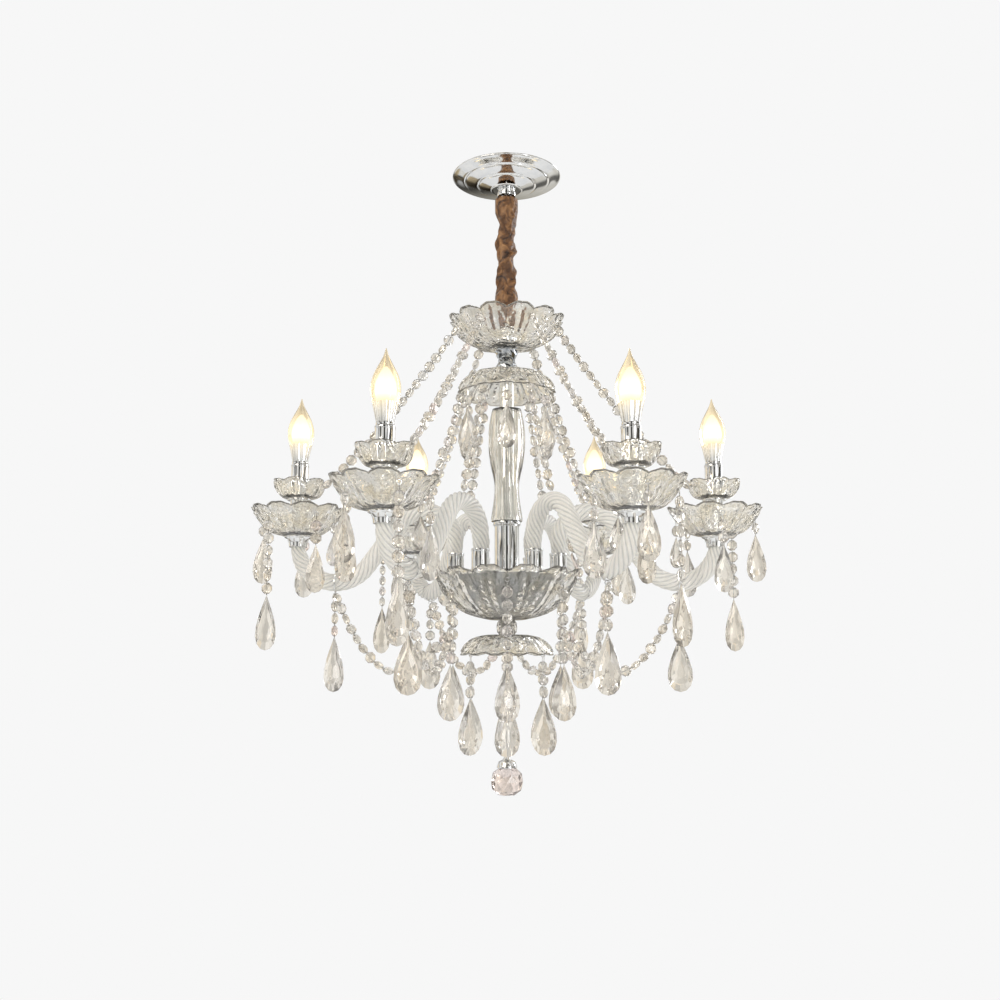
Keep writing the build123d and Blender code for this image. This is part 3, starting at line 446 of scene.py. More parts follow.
def sleeve_cloth():
    """Crushed brown satin: a plain weave with a warm sheen, its colour painted dark brown in the
    hollows of the crush and light brown on its crests: painted shade in the creases and painted
    highlights on the folds.
    """
    # The crush noise that raises the bump also paints the colour: painted shade where it is low,
    # painted highlight where it is high.
    material, tree, where, crush_height_and_shade, tint = grained(
        "crushed_satin_cloth", 12, 6.0, [(0.32, "#2e1a0d"), (0.70, "#a5794b"), (0.5, "#6b4727")],
        distortion=1.2)
    crush = add_node(tree, "ShaderNodeBump", {
        "Height": crush_height_and_shade, "Strength": 0.9, "Distance": 0.003})
    # A thread is 0.3 mm. The weave is drawn 1.7 mm wide, as coarse as it needs to show:
    # this pattern has 20 / (2 pi) bands, about 3.2, in each cell.
    weave = add_node(tree, "ShaderNodeTexWave", {
        "Vector": where, "Scale": per_metre(5.4), "Distortion": 0.6}, bands_direction="Z")
    bump = add_node(tree, "ShaderNodeBump", {
        "Height": weave.outputs["Fac"], "Strength": 0.25, "Distance": 0.0003,
        "Normal": crush.outputs["Normal"]})
    return finished(material, {
        "Base Color": tint, "Roughness": 0.42, "Sheen Weight": 0.35, "Sheen Roughness": 0.3,
        "Sheen Tint": linear("#d8b894"), "Normal": bump.outputs["Normal"]})


def flame_glass():
    """Blown lamp glass, lit from inside: glows through its middle, pale and clear at its tip."""
    material, tree = new_material("lit_lamp_glass")
    where = add_node(tree, "ShaderNodeTexCoord")
    frost = add_node(tree, "ShaderNodeTexNoise", {
        "Vector": where.outputs["Object"], "Scale": per_metre(3)})
    rough = add_node(tree, "ShaderNodeMapRange", {
        "Value": frost.outputs["Fac"], "To Min": 0.08, "To Max": 0.2})
    facing = add_node(tree, "ShaderNodeLayerWeight", {"Blend": 0.4}).outputs["Facing"]
    height = add_node(tree, "ShaderNodeSeparateXYZ", {
        "Vector": where.outputs["Generated"]}).outputs["Z"]
    middle, tip, foot = (
        add_node(tree, "ShaderNodeMapRange", {
            "Value": value, "From Min": low, "From Max": high, "To Min": first, "To Max": last})
        for value, low, high, first, last in ((facing, 0.05, 0.7, 0.34, 0.03),
                                              (height, 0.62, 0.86, 1.0, 0.12),
                                              (height, 0.28, 0.50, 0.0, 1.0)))
    glow = foot
    for share in (tip, middle):
        glow = add_node(tree, "ShaderNodeMath", {0: share.outputs[0], 1: glow.outputs[0]},
                        operation="MULTIPLY")
    warm = add_node(tree, "ShaderNodeValToRGB", {"Fac": height}, [
        (0.38, "#ffffff"), (1.0, "#f8ead0"), (0.5, "#fff0cf")])
    return finished(material, {
        "Base Color": warm.outputs["Color"], "Roughness": rough.outputs["Result"], "IOR": 1.3,
        "Transmission Weight": 0.97, "Emission Color": linear("#ffe9bd"),
        "Emission Strength": glow.outputs["Value"]})


def lamp_core():
    """The lit light guide inside the lamp: white hot in the middle, warmer at both ends."""
    material, tree = new_material("lit_light_guide")
    where = add_node(tree, "ShaderNodeTexCoord").outputs["Generated"]
    height = add_node(tree, "ShaderNodeSeparateXYZ", {"Vector": where}).outputs["Z"]
    tint = add_node(tree, "ShaderNodeValToRGB", {"Fac": height}, [
        (0.42, "#ffe2b0"), (0.8, "#ffedc4"), (0.56, "#fffaf0")])
    heat = add_node(tree, "ShaderNodeMapRange", {
        "Value": height, "From Min": 0.42, "From Max": 0.54, "To Min": 0.62, "To Max": 1.5})
    glow = add_node(tree, "ShaderNodeEmission", {
        "Color": tint.outputs["Color"], "Strength": heat.outputs["Result"]})
    add_node(tree, "ShaderNodeOutputMaterial", {"Surface": glow.outputs["Emission"]})
    return material


# Chrome plate on buffed steel: mirror bright, with buffing haze that breaks up reflections.
CHROME = bright_metal("polished_chrome_plate", 9, 4.0, [(0.3, "#e2e4e6"), (0.7, "#f0f0ef")],
                      (0.035, 0.12))
# Zinc on pressed steel: dull, grey and a little yellow, with a mottled bloom.
ZINC = bright_metal("zinc_plated_steel", 6, 6.0, [(0.3, "#9b9da0"), (0.7, "#c2bfb4")],
                    (0.33, 0.48))
# Metal of the hub bowl, on spun steel, coloured a darker grey: painted shade for the grey that
# shows through the main bowl's glass.
HUB_METAL_SHADED = bright_metal("hub_metal_painted_shade", 6, 6.0, [(0.3, "#7b7e80"), (0.7, "#a2a4a4")],
                      (0.06, 0.21))
# Crystal silvered from inside: each facet mirrors the room like dark polished steel.
SILVERED = bright_metal("silvered_cut_crystal", 4, 3.0, [(0.35, "#8d9298"), (0.65, "#d9dcdf")],
                        (0.02, 0.12))
PRESSED = pressed_glass()
BLOWN = blown_glass()
# Rim glass, darker grey: painted shade along the rims of the bowls, pans and cups.
RIM_PAINTED_SHADE = rim_glass_painted_shade()
# The rope is milky with white thread on its ridges and clearer in its grooves, where it is also
# tinted a little greyer and cooler: painted shade in the grooves.
ROPE_RIDGE = rope_glass("drawn_glass_white_thread", "#faf7f0", "#fffefa", 0.34)
ROPE_GROOVE_SHADED = rope_glass("drawn_glass_groove_painted_shade", "#edeeee", "#fbfaf8", 0.44)
CRYSTAL = cut_crystal()
CLOTH = sleeve_cloth()
FLAME = flame_glass()
CORE = lamp_core()
TERMINAL = moulded_plastic("moulded_polyamide", "#d9d5ca", "#efece4")
SOCKET = moulded_plastic("moulded_phenolic", "#bdb6a6", "#d8d2c4")

for kept, material in (("ceiling_bracket", ZINC), ("canopy_nipple", ZINC), ("nipple_nuts", ZINC),
                       ("centre_rod", ZINC), ("terminal_block", TERMINAL),
                       ("lampholders", SOCKET)):
    cad = frame["nodes"][kept]
    cad.data.materials.clear()
    cad.data.materials.append(material)


# ---- ceiling canopy and chain
def wire_ring(shape, place, bend_r, wire_r, straight=0.0, finish=0):
    """A closed oval of round wire in the local XZ plane."""
    rings = []
    steps = 24
    for i in range(steps):
        a = 2 * math.pi * i / steps
        out = Vector((math.cos(a), 0, math.sin(a)))
        shift = 0 if i in (0, steps // 2) else math.copysign(straight / 2, out.z)
        centre = out * bend_r + Vector((0, 0, shift))
        rings.append(hoop(centre, out, Vector((0, 1, 0)), wire_r, 10))
    shape.add(rings, finish, place, joined=True)


def canopy():
    """Spun canopy: a rolled lip and three rounded tiers down to the neck."""
    outer = [(71.2, 0.0), (72.0, -1.0), (71.4, -2.2), (66.0, -3.6), (59.0, -6.0), (56.8, -6.6),
             (55.4, -8.4), (52.0, -9.6), (42.0, -12.0), (39.2, -12.6), (37.6, -14.4),
             (34.0, -15.6), (24.0, -18.0), (21.0, -18.7), (19.6, -19.9), (14.0, -20.0),
             (5.4, -20.0)]
    inner = [(5.4, -18.8), (18.6, -18.8), (23.0, -16.8), (36.4, -13.2), (41.0, -10.8),
             (54.0, -7.0), (58.0, -4.8), (70.4, -1.2), (70.6, 0.0)]
    shape = Shape()
    shape.add(turned(flowing(mm(outer), 4) + mm(inner), 96), joined=True)
    make_piece("canopy_spun", shape, [CHROME], "canopy", body="ceiling", crease=50)


def looped_neck(name, node, body, profile, loop_z):
    """A turned neck with the wire loop that carries, or hangs from, the chain."""
    shape = Shape()
    shape.add(turned(profile), capped=False)
    wire_ring(shape, lifted(loop_z), LOOP_R, LOOP_WIRE_R)
    make_piece(name, shape, [CHROME], node, body=body)


def canopy_neck():
    """Smooth neck under the canopy, with a bead round its top."""
    high, low = top("canopy_loop"), NECK_LOW_Z
    profile = mm([(0, 0), (10.8, 0), (11.2, -1.2), (10.8, -2.4), (12.2, -3.4)], high)
    profile += mm([(12.5, 2), (11.9, 0.4), (10, 0), (0, 0)], low)
    looped_neck("canopy_neck", "canopy_loop", "ceiling", profile, low - LOOP_CENTRE)


def frame_loop():
    """Waisted neck on the frame's rod."""
    high, low = FRAME_LOOP_TOP_Z, bottom("frame_loop")
    profile = mm([(0, 0), (12.5, 0), (14, -1.2), (13.8, -3), (10.8, -6), (10, -12)], high)
    profile += mm([(10.8, 6), (13.8, 1.5), (13.8, 0), (0, 0)], low)
    looped_neck("frame_loop_chrome", "frame_loop", "chandelier", profile, high + LOOP_CENTRE)


def chain():
    """Oval steel links; every second one is turned a quarter."""
    first_top = top("chain_link_top") - LINK_WIRE_R
    step = LINK_LENGTH - 2 * LINK_WIRE_R - LINK_GAP
    count = 1 + round((top("chain_links") - bottom("chain_links") - LINK_LENGTH) / step)
    for name, body, numbers in (("chain_link_top", "upper_link", [0]),
                                ("chain_links", "chain", range(1, 1 + count))):
        shape = Shape()
        for i in numbers:
            turn = spun(0 if i % 2 else math.pi / 2)
            place = lifted(first_top - step * i - LINK_LENGTH / 2) @ turn
            wire_ring(shape, place, LINK_BEND_R, LINK_WIRE_R, LINK_LENGTH - 2 * LINK_BEND_R)
        make_piece(name + "_steel", shape, [CHROME], name, body=body)


def pinched(angle, power=1.0):
    """A wave of pinched ridges with round hollows between them, from one to minus one."""
    return 1 - 2 * abs(math.sin(angle)) ** power


def sleeve():
    """Gathered cloth tube: snug round both ends, with crushed folds winding between them."""
    high, low = top("chain_sleeve"), bottom("chain_sleeve")
    rows, columns = 150, 96
    least, most = SLEEVE_REACH_R
    wide, middle, narrow = SLEEVE_FOLDS
    rng = random.Random(7)
    crush = [(rng.uniform(0.5, 1.0), rng.uniform(0, 6.28), rng.choice((2, 3, 4, 5)),
              rng.uniform(10, 34)) for _ in range(7)]
    rings = []
    for i in range(rows + 1):
        t = i / rows
        # Folds grow over the second tenth of the way down and end before the top bowl.
        loose = min(1.0, max(0.0, (t - 0.10) / 0.10)) * min(1.0, max(0.0, (0.76 - t) / 0.06))
        ring = []
        for k in range(columns):
            a = 2 * math.pi * k / columns
            twist = a + 9.0 * t + 0.5 * math.sin(14 * t)
            fold = wide * pinched(twist, 1.5) + middle * math.sin(3 * twist + 1.3 + 6 * t)
            fold += narrow * pinched(2.5 * twist + 3 * t)
            for size, phase, waves, run in crush:
                fold += SLEEVE_CRUSH * size * pinched(0.5 * (waves * a + run * t * 2.6 + phase))
            pleat = SLEEVE_PLEAT * math.sin(14 * a + 40 * t)
            mean = SLEEVE_END_R - SLEEVE_DRAWN_IN * loose
            r = min(most, max(least, mean + fold * loose + pleat * (1 - loose)))
            sway = SLEEVE_SWAY * loose * math.sin(11 * t)
            ring.append((r * math.cos(a) + sway, r * math.sin(a), high + (low - high) * t))
        rings.append(ring)
    shape = Shape()
    shape.add(rings, capped=False)
    piece = make_piece("chain_sleeve_cloth", shape, [CLOTH], "chain_sleeve",
                       "chain", crease=180)
    cloth = piece.modifiers.new("cloth_thickness", "SOLIDIFY")
    cloth.thickness = SLEEVE_CLOTH


# ---- centre column
def petal_bowl(rim_r, height, base_r, bore_r, petals, belly, wall=GLASS_WALL, opens=1, steps=12,
               teeth=3, relief_height=1.0):
    """Pressed bowl: petals with a midrib, almond flutes, an arched border and a scalloped rim.

    The outside of its base is at height zero and a notch lies on the X axis.
    """
    rings = []
    out, up = belly
    for i in range(petals * steps):
        phase = i / steps % 1.0
        angle = 2 * math.pi * i / (petals * steps)
        petal = math.sin(math.pi * phase) ** 0.7
        notch = 1 - petal
        rib = RIB_HEIGHT * math.exp(-((phase - 0.5) / RIB_WIDTH) ** 2)
        flute = FLUTE_HEIGHT * abs(math.sin(3 * math.pi * phase))
        border = 0.86 - 1.6 * (phase - 0.5) ** 2  # share of the way up the outside
        belly_r = base_r + out * (rim_r - base_r) - PETAL_FLUTE * rim_r * notch
        belly_h = up * height
        edge_r, edge_h = rim_r * (1 - PETAL_PULL * notch), height * (1 - PETAL_DIP * notch)
        edge_h += RIM_TOOTH * height * math.cos(2 * math.pi * teeth * phase)
        foot_r = 0.5 * (base_r + belly_r) + 0.03 * rim_r
        middle_r = 0.55 * belly_r + 0.45 * edge_r + 0.02 * rim_r * petal
        outside = flowing([(base_r, 0.0), (foot_r, 0.34 * belly_h), (belly_r, belly_h),
                           (middle_r, 0.5 * (belly_h + edge_h)),
                           (0.985 * edge_r, 0.96 * edge_h)], 8)
        relief = []
        for j, (r, h) in enumerate(outside):
            t = j / (len(outside) - 1)
            swell = math.sin(math.pi * t) ** 0.8
            arch = BORDER_HEIGHT * math.exp(-((t - border) / BORDER_WIDTH) ** 2)
            share = relief_height * (1.0 if t < border else BORDER_RELIEF)
            relief.append((r + swell * (share * (rib + flute) + arch - NOTCH_DEPTH * notch), h))
        lip = [(edge_r, edge_h), (edge_r - 0.5 * wall, edge_h + 0.15 * wall),
               (edge_r - wall, edge_h - 0.2 * wall)]
        inside = [(r - 0.9 * wall, max(BOWL_BASE, h + 0.5 * wall))
                  for r, h in reversed(outside[1:-1])]
        outline = [(bore_r, 0.0)] + relief + lip + inside
        outline += [(base_r - 0.6 * wall, BOWL_BASE), (bore_r, BOWL_BASE)]
        rings.append([(r * math.cos(angle), r * math.sin(angle), opens * h) for r, h in outline])
    return rings


def rim_of(rings):
    """The places in a bowl's outline that lie on its rim, which take the darker rim glass: painted
    shade.
    """
    heights = [abs(p[2]) for p in rings[len(rings) // (2 * BOWL_PETALS)]]
    crest = heights.index(max(heights))
    return (crest - 1, crest)


def notch_height(rim_r, height, base_r, radius, belly=BOWL_BELLY):
    """Height of a bowl's outside in a notch, at a radius between its belly and its rim."""
    out, up = belly
    r0, h0 = base_r + out * (rim_r - base_r) - PETAL_FLUTE * rim_r, up * height
    r1, h1 = rim_r * (1 - PETAL_PULL), height * (1 - PETAL_DIP)
    return h0 + (radius - r0) / (r1 - r0) * (h1 - h0)


def pressed_piece(node, shape):
    # The rim faces take the second material, the darker glass with painted shade.
    make_piece(node + "_pressed", shape, [PRESSED, RIM_PAINTED_SHADE], node, crease=38)


def central_bowl(node, base_r, opens=1, relief_height=1.0):
    """One of the four bowls on the rod, sized from its CAD node."""
    low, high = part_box(node)
    shape = Shape()
    rings = petal_bowl(high.y / math.cos(math.pi / BOWL_PETALS), high.z - low.z, base_r,
                       ROD_BORE_R, BOWL_PETALS, BOWL_BELLY, opens=opens,
                       relief_height=relief_height)
    place = lifted(low.z if opens > 0 else high.z)
    shape.add(rings, place=place, joined=True, accents=rim_of(rings))
    pressed_piece(node, shape)


def cut_knob(node, profile, sides, material=CRYSTAL):
    """A crystal on the rod, cut all round in flat lozenges; its profile starts at its top."""
    shape = Shape()
    rings = [circle(r, z, sides, 0.5 * (j % 2)) for j, (r, z) in enumerate(mm(profile, top(node)))]
    for lower, upper in zip(rings, rings[1:]):
        shape.add([lower, upper], capped=False)
    make_piece(node + "_cut", shape, [material], node, flat=True)


def lathe_piece(node, outline, sides=64, count=1, radius=0.0, finish=("chrome", CHROME, "chrome")):
    """One or several turned pieces, from a closed outline of (radius, height) points.

    The finish is the name that it adds to the piece, its material and its slot; the slot is not
    used.
    """
    ending, material, slot = finish
    shape = Shape()
    for n in range(count):
        shape.add(turned(outline, sides), place=around(n, radius), joined=True)
    make_piece(f"{node}_{ending}", shape, [material], node)


def centre_column():
    low, high = ends_of("column_liner")
    outline = mm([(8.3, 0), (9.5, 0)], low) + mm([(9.5, 0), (8.3, 0)], high)
    lathe_piece("column_liner", eased(outline))
    low, high = ends_of("glass_column")
    h = high - low
    side = [(r * MM, high - share * h) for r, share in (
        (18.8, 0), (22.6, 0.14), (23.8, 0.30), (21.2, 0.48), (16.3, 0.64), (15.7, 0.73),
        (17.2, 0.84))]
    inside = [(r * MM, low + share * h) for r, share in (
        (19.8, 0), (13.5, 0), (12.5, 0.1), (12.5, 0.3), (16.0, 0.65), (15.0, 0.98))]
    lathe_piece("glass_column", flowing(side + mm([(20.3, 3)], low), 6) + inside,
                finish=("blown", BLOWN, "pressed_glass"))
    low, high = ends_of("lower_column")
    outline = mm([(5.3, 0), (17.5, 0), (17.5, -5), (15.5, -6.5)], high)
    outline += mm([(15.5, 5), (17.5, 0), (5.3, 0)], low)
    lathe_piece("lower_column", eased(outline, 0.0008))


def hub():
    low, high = ends_of("hub_plate")
    outline = mm([(5.3, 0), (79, 0)], low) + mm([(79, 0), (5.3, 0)], high)
    lathe_piece("hub_plate", eased(outline, 0.001), 96)
    low, high = ends_of("hub_bowl")
    sheet = 1.5 * MM
    side = flowing([(r * MM, low + share * (high - low)) for r, share in (
        (15.5, 0), (30, 0.10), (52, 0.38), (69, 0.70), (77.5, 1))], 6)
    inside = [(r - sheet, min(high, z + sheet)) for r, z in reversed(side)]
    outline = [(ROD_BORE_R, low)] + side + inside + [(ROD_BORE_R, low + sheet)]
    # The hub bowl's darker grey metal is painted shade.
    lathe_piece("hub_bowl", outline, 96, finish=("shaded_metal", HUB_METAL_SHADED, "chrome"))


def finial():
    tip, high = ends_of("finial_rod")
    outline = mm([(5.3, 0), (9, 0), (9, -7), (4.5, -11), (3.5, -13)], high)
    outline += mm([(3.5, 13), (6, 9.5), (10.5, 7.5), (12.3, 2), (12.5, 0), (3.5, 0)],
                  FINIAL_FOOT_Z)
    outline += mm([(3.5, 0), (0.6, 0)], tip) + mm([(0.6, 0)], high)
    lathe_piece("finial_rod", eased(outline), 32)


def crystal_ball():
    """Ball of small triangular facets, cut flat above and below."""
    low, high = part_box("crystal_ball")
    half, centre = (high.z - low.z) / 2, (low.z + high.z) / 2
    ball = bmesh.new()
    bmesh.ops.create_icosphere(ball, subdivisions=2, radius=(high.x - low.x) / 2)
    for vert in ball.verts:
        vert.co.z = max(-half, min(half, vert.co.z)) + centre
    mesh = bpy.data.meshes.new("crystal_ball_cut")
    ball.to_mesh(mesh)
    ball.free()
    mesh.materials.append(CRYSTAL)
    seat_piece("crystal_ball_cut", mesh, "crystal_ball")


# ---- arms and candle fittings
def arm_line():
    """Centre line of a swan-neck arm in its own XZ plane: foot, hump, bow and tip."""
    span = math.hypot(BOW_X - HUMP_X, BOW_Z - HUMP_Z)
    slope = math.atan2(BOW_Z - HUMP_Z, BOW_X - HUMP_X)
    leave = math.pi / 2 - (math.asin((ARM_HUMP_R + ARM_BOW_R) / span) - slope)
    line = [Vector((ARM_ROOT_R, 0, HUB_TOP + ARM_FOOT_GAP)), Vector((ARM_ROOT_R, 0, HUMP_Z))]
    steps = 24
    for i in range(1, steps + 1):
        a = math.pi - (math.pi - leave) * i / steps
        line.append(Vector((HUMP_X + ARM_HUMP_R * math.cos(a), 0,
                            HUMP_Z + ARM_HUMP_R * math.sin(a))))
    for i in range(steps + 1):
        a = math.pi + leave + (math.pi - leave) * i / steps
        line.append(Vector((BOW_X + ARM_BOW_R * math.cos(a), 0, BOW_Z + ARM_BOW_R * math.sin(a))))
    line.append(Vector((ARM_REACH, 0, PAN_Z - ARM_TIP_GAP)))
    return line


def rope_arm():
    """Rings of the fluted glass rope, slimmer where the chrome seats take it."""
    stations = 130
    points, directions, length = even_steps(arm_line(), stations)
    sides = ARM_FLUTES * ARM_FLUTE_POINTS
    side = Vector((0, 1, 0))
    foot, tip = ARM_SLIM
    rings = []
    for i, (centre, along) in enumerate(zip(points, directions)):
        t = i / stations
        grown = max(0.0, min(1.0, (length * t - foot) / ARM_GROWTH,
                             (length * (1 - t) - tip) / ARM_GROWTH))
        radius = ARM_END_R + (ARM_R - ARM_END_R) * grown
        across = along.cross(side)
        ring = []
        for k in range(sides):
            a = 2 * math.pi * (k / sides + ARM_TURNS * t)
            ridge = abs(math.sin(ARM_FLUTES * math.pi * k / sides)) ** 0.8
            r = radius - ARM_FLUTE_DEPTH * (1 - ridge)
            ring.append(centre + across * (r * math.cos(a)) + side * (r * math.sin(a)))
        rings.append(ring)
    return rings


def arms():
    rope = rope_arm()
    grooves = [k for k in range(len(rope[0])) if k % ARM_FLUTE_POINTS in (0, ARM_FLUTE_POINTS - 1)]
    for n in range(ARMS):
        shape = Shape()
        # The groove faces take the greyer glass: painted shade in the grooves.
        shape.add(rope, place=around(n), accents=grooves)
        make_piece(f"arm_{n + 1}_rope", shape, [ROPE_RIDGE, ROPE_GROOVE_SHADED], f"arm_{n + 1}",
                   crease=60)
    ferrule = mm([(5, 0), (11.1, 0), (11.1, 2), (10.8, 3), (10.8, 22.5), (11.3, 23.5),
                  (11.3, 26), (9.6, 26), (9.6, 2), (5, 2)], HUB_TOP)
    lathe_piece("arm_ferrules", eased(ferrule, 0.0004), 32, ARMS, ARM_ROOT_R)
    cap = mm([(5.3, 0), (17.2, 0), (17.5, -1), (17.2, -2), (14, -3.5), (12, -8), (11.4, -12.5),
              (11.4, -14), (9.6, -14), (9.6, -3), (5.3, -3)], PAN_Z)
    lathe_piece("arm_end_caps", eased(cap, 0.0004), 40, ARMS, ARM_REACH)


def candle_fittings():
    pan = petal_bowl(*PAN, ROD_BORE_R, PAN_PETALS, PAN_BELLY)
    petal_out = spun(math.pi / PAN_PETALS)
    for n in range(ARMS):
        shape = Shape()
        shape.add(pan, place=around(n, ARM_REACH, PAN_Z) @ petal_out, joined=True,
                  accents=rim_of(pan))
        pressed_piece(f"drip_pan_{n + 1}", shape)
    shape = Shape()
    cup = petal_bowl(*CUP, TUBE_BORE_R, CUP_PETALS, BOWL_BELLY, wall=CUP_WALL, steps=16, teeth=4)
    for n in range(ARMS):
        shape.add(cup, place=around(n, ARM_REACH, CUP_Z), joined=True, accents=rim_of(cup))
    pressed_piece("candle_cups", shape)
    foot, high = ends_of("candle_tubes")
    low = PAN_Z + BOWL_BASE
    tube = mm([(3.5, 0), (5, 0)], foot) + mm([(5, 0), (11, 0)], low)
    tube += mm([(11, -2), (15, -2), (15, 0), (11, 0)], CUP_Z)
    tube += mm([(11, -3), (11.4, -2.2), (11.4, 0), (10.2, 0)], high)
    tube += mm([(10.2, 2), (3.5, 2)], low)
    lathe_piece("candle_tubes", eased(tube, 0.0003), 40, ARMS, ARM_REACH)


def fluted(profile, sides):
    """Turned rings with the shallow flutes of the lamp's cooling body."""
    rings = []
    for r, z in profile:
        ring = []
        for k in range(sides):
            a = 2 * math.pi * k / sides
            flute = 0.5 - 0.5 * math.cos(LAMP_FLUTES * a)
            radius = r - LAMP_FLUTE_DEPTH * r / LAMP_FLUTE_R * flute
            ring.append((radius * math.cos(a), radius * math.sin(a), z))
        rings.append(ring)
    return rings


def lamps():
    """Flame-tip candle lamps: fluted bright body, frosted flame and the lit guide inside it."""
    base = top("candle_tubes") + 0.5 * MM
    cap = bottom("bulb_1")
    metal = mm([(0.5, 0), (6.8, 0)], cap)
    metal += mm([(6.8, 0), (10, 0.3), (10.4, 1.2), (10.4, 3), (9.2, 3.6)], base)
    cone = mm([(8.6, 3.6), (10, 14), (11.6, 26.5), (6, 27.5)], base)
    flame = mm([(9.8, 3.7), (12, 14), (14.6, 26), (16.6, 38), (16.3, 47), (13.2, 58), (8.2, 68),
                (3.6, 77), (1.3, 84), (0.6, 87)], base)
    guide = mm([(6.2, 27.7), (9, 36), (8.6, 46), (5, 57), (1.2, 64)], base)
    for n in range(ARMS):
        shape = Shape()
        place = around(n, ARM_REACH)
        shape.add(turned(metal, 24), 0, place, capped=False)
        shape.add(fluted(cone, 72), 0, place, capped=False)
        shape.add(turned(flowing(flame), 32), 1, place)
        shape.add(turned(flowing(guide), 24), 2, place)
        make_piece(f"bulb_{n + 1}_lit", shape, [CHROME, FLAME, CORE], f"bulb_{n + 1}",
                   f"lamp_{n + 1}", crease=45)


# ---- beads and drops
def octagon_bead():
    """Flat octagon bead: a table on each face and two rows of facets, hung along Z."""
    rings = []
    for y, scale in ((-0.5, 0.5), (-0.32, 0.8), (-0.08, 1.0), (0.08, 1.0), (0.32, 0.8),
                     (0.5, 0.5)):
        rings.append([(BEAD_R * scale * math.cos(a), BEAD_DEPTH * y, BEAD_R * scale * math.sin(a))
                      for a in (math.pi * (k + 0.5) / 4 for k in range(8))])
    return rings


def pear_drop(width, height, depth, points=18):
    """Flat almond drop: a kite-shaped table on each face inside two rows of facets."""
    outline = []
    for k in range(points):
        a = 2 * math.pi * k / points
        outline.append(Vector((0.64 * width * math.sin(a) * abs(math.sin(a / 2)) ** 1.35, 0,
                               -height * (1 - math.cos(a)) / 2)))
    middle = Vector((0, 0, -0.63 * height))
    rings = []
    for y, scale in ((-0.5, 0.3), (-0.36, 0.62), (-0.07, 1.0), (0.07, 1.0), (0.36, 0.62),
                     (0.5, 0.3)):
        rings.append([middle + (p - middle) * scale + Vector((0, depth * y, 0)) for p in outline])
    return rings


BEAD = octagon_bead()


def wire(shape, line):
    """The pins and rings that link the stones, drawn as one thin wire."""
    rings = []
    last = len(line) - 1
    for i, centre in enumerate(line):
        along = (line[min(i + 1, last)] - line[max(i - 1, 0)]).normalized()
        side = along.orthogonal().normalized()
        rings.append(hoop(centre, side, along.cross(side), WIRE_R, 6))
    shape.add(rings, finish=1)


def hang_string(shape, place, beads, drop, rng):
    """Hook, beads and a drop of (width, height, depth) straight down from a point."""
    wire_ring(shape, place @ lifted(-HOOK_RING_R) @ spun(math.pi / 2), HOOK_RING_R, HOOK_WIRE_R,
              finish=1)
    last = -HOOK_LENGTH - BEAD_PITCH * beads
    wire(shape, [place @ Vector((0, 0, z)) for z in (-0.004, last / 2, last - 0.003)])
    for i in range(beads):
        turn = spun(math.pi / 2 + rng.uniform(-STONE_TURN, STONE_TURN))
        shape.add(BEAD, 0, place @ lifted(-HOOK_LENGTH - BEAD_PITCH * (i + 0.5)) @ turn)
    foot = place @ Vector((0, 0, last))
    turn = spun(rng.uniform(-STONE_TURN, STONE_TURN))
    shape.add(pear_drop(*drop), 0, Matrix.Translation(foot) @ turn)


def strand(shape, start, end, sag, rng):
    """Beads threaded along a shallow curve, each turned a little on its wire."""
    line = []
    for i in range(41):
        t = i / 40
        line.append(start.lerp(end, t) - Vector((0, 0, 4 * sag * t * (1 - t))))
    wire(shape, line)
    length = sum((b - a).length for a, b in zip(line, line[1:]))
    beads = max(2, round(length / STRAND_PITCH))
    points, directions, _ = even_steps(line, 2 * beads)
    for i in range(1, 2 * beads, 2):
        along = directions[i].to_track_quat("Z", "Y").to_matrix().to_4x4()
        turn = spun(rng.uniform(0, math.pi))
        shape.add(BEAD, 0, Matrix.Translation(points[i]) @ along @ turn)


def crystal_piece(node, shape, body="chandelier"):
    make_piece(node + "_cut", shape, [CRYSTAL, CHROME], node, body, flat=True)


def pan_place(n, notch):
    """Hook point in one of a pan's notches, counted from its outward petal."""
    turn = spun(2 * math.pi * (notch + 0.5) / PAN_PETALS)
    height = notch_height(*PAN, PAN_HANG_R, PAN_BELLY) - HANG_GAP
    return around(n, ARM_REACH, PAN_Z) @ turn @ Matrix.Translation((PAN_HANG_R, 0, height))


def pan_strings():
    """One drop on each pan's outer notch, which swings, and four strings that don't."""
    rng = random.Random(3)
    for n in range(ARMS):
        shape = Shape()
        hang_string(shape, pan_place(n, -1), 1, SHORT_DROP, rng)
        crystal_piece(f"outer_drop_{n + 1}", shape, f"drop_{n + 1}")
    shape = Shape()
    for n in range(ARMS):
        for notch, beads, drop in ((1, 6, LONG_DROP), (3, 2, SHORT_DROP), (-3, 2, SHORT_DROP),
                                   (4, 1, SMALL_DROP)):
            hang_string(shape, pan_place(n, notch), beads, drop, rng)
    crystal_piece("pan_drops", shape)


def ring_of_strings(node, radius, beads, drop):
    """Six equal strings round the axis, one between each pair of arms."""
    rng = random.Random(node)
    shape = Shape()
    for n in range(ARMS):
        hang_string(shape, around(n + 0.5, radius, top(node)), beads, drop, rng)
    crystal_piece(node, shape)


def bow_strings():
    """A wire ring round the bottom of each bow with three beads and a drop."""
    rng = random.Random(11)
    shape = Shape()
    ring_r = ARM_R + BOW_RING_GAP
    for n in range(ARMS):
        spot = around(n, BOW_X, BOW_Z - ARM_BOW_R)
        wire_ring(shape, spot @ spun(math.pi / 2), ring_r, BOW_RING_WIRE_R, finish=1)
        hang_string(shape, spot @ lifted(-ring_r), 3, TALL_DROP, rng)
    crystal_piece("bow_drops", shape)


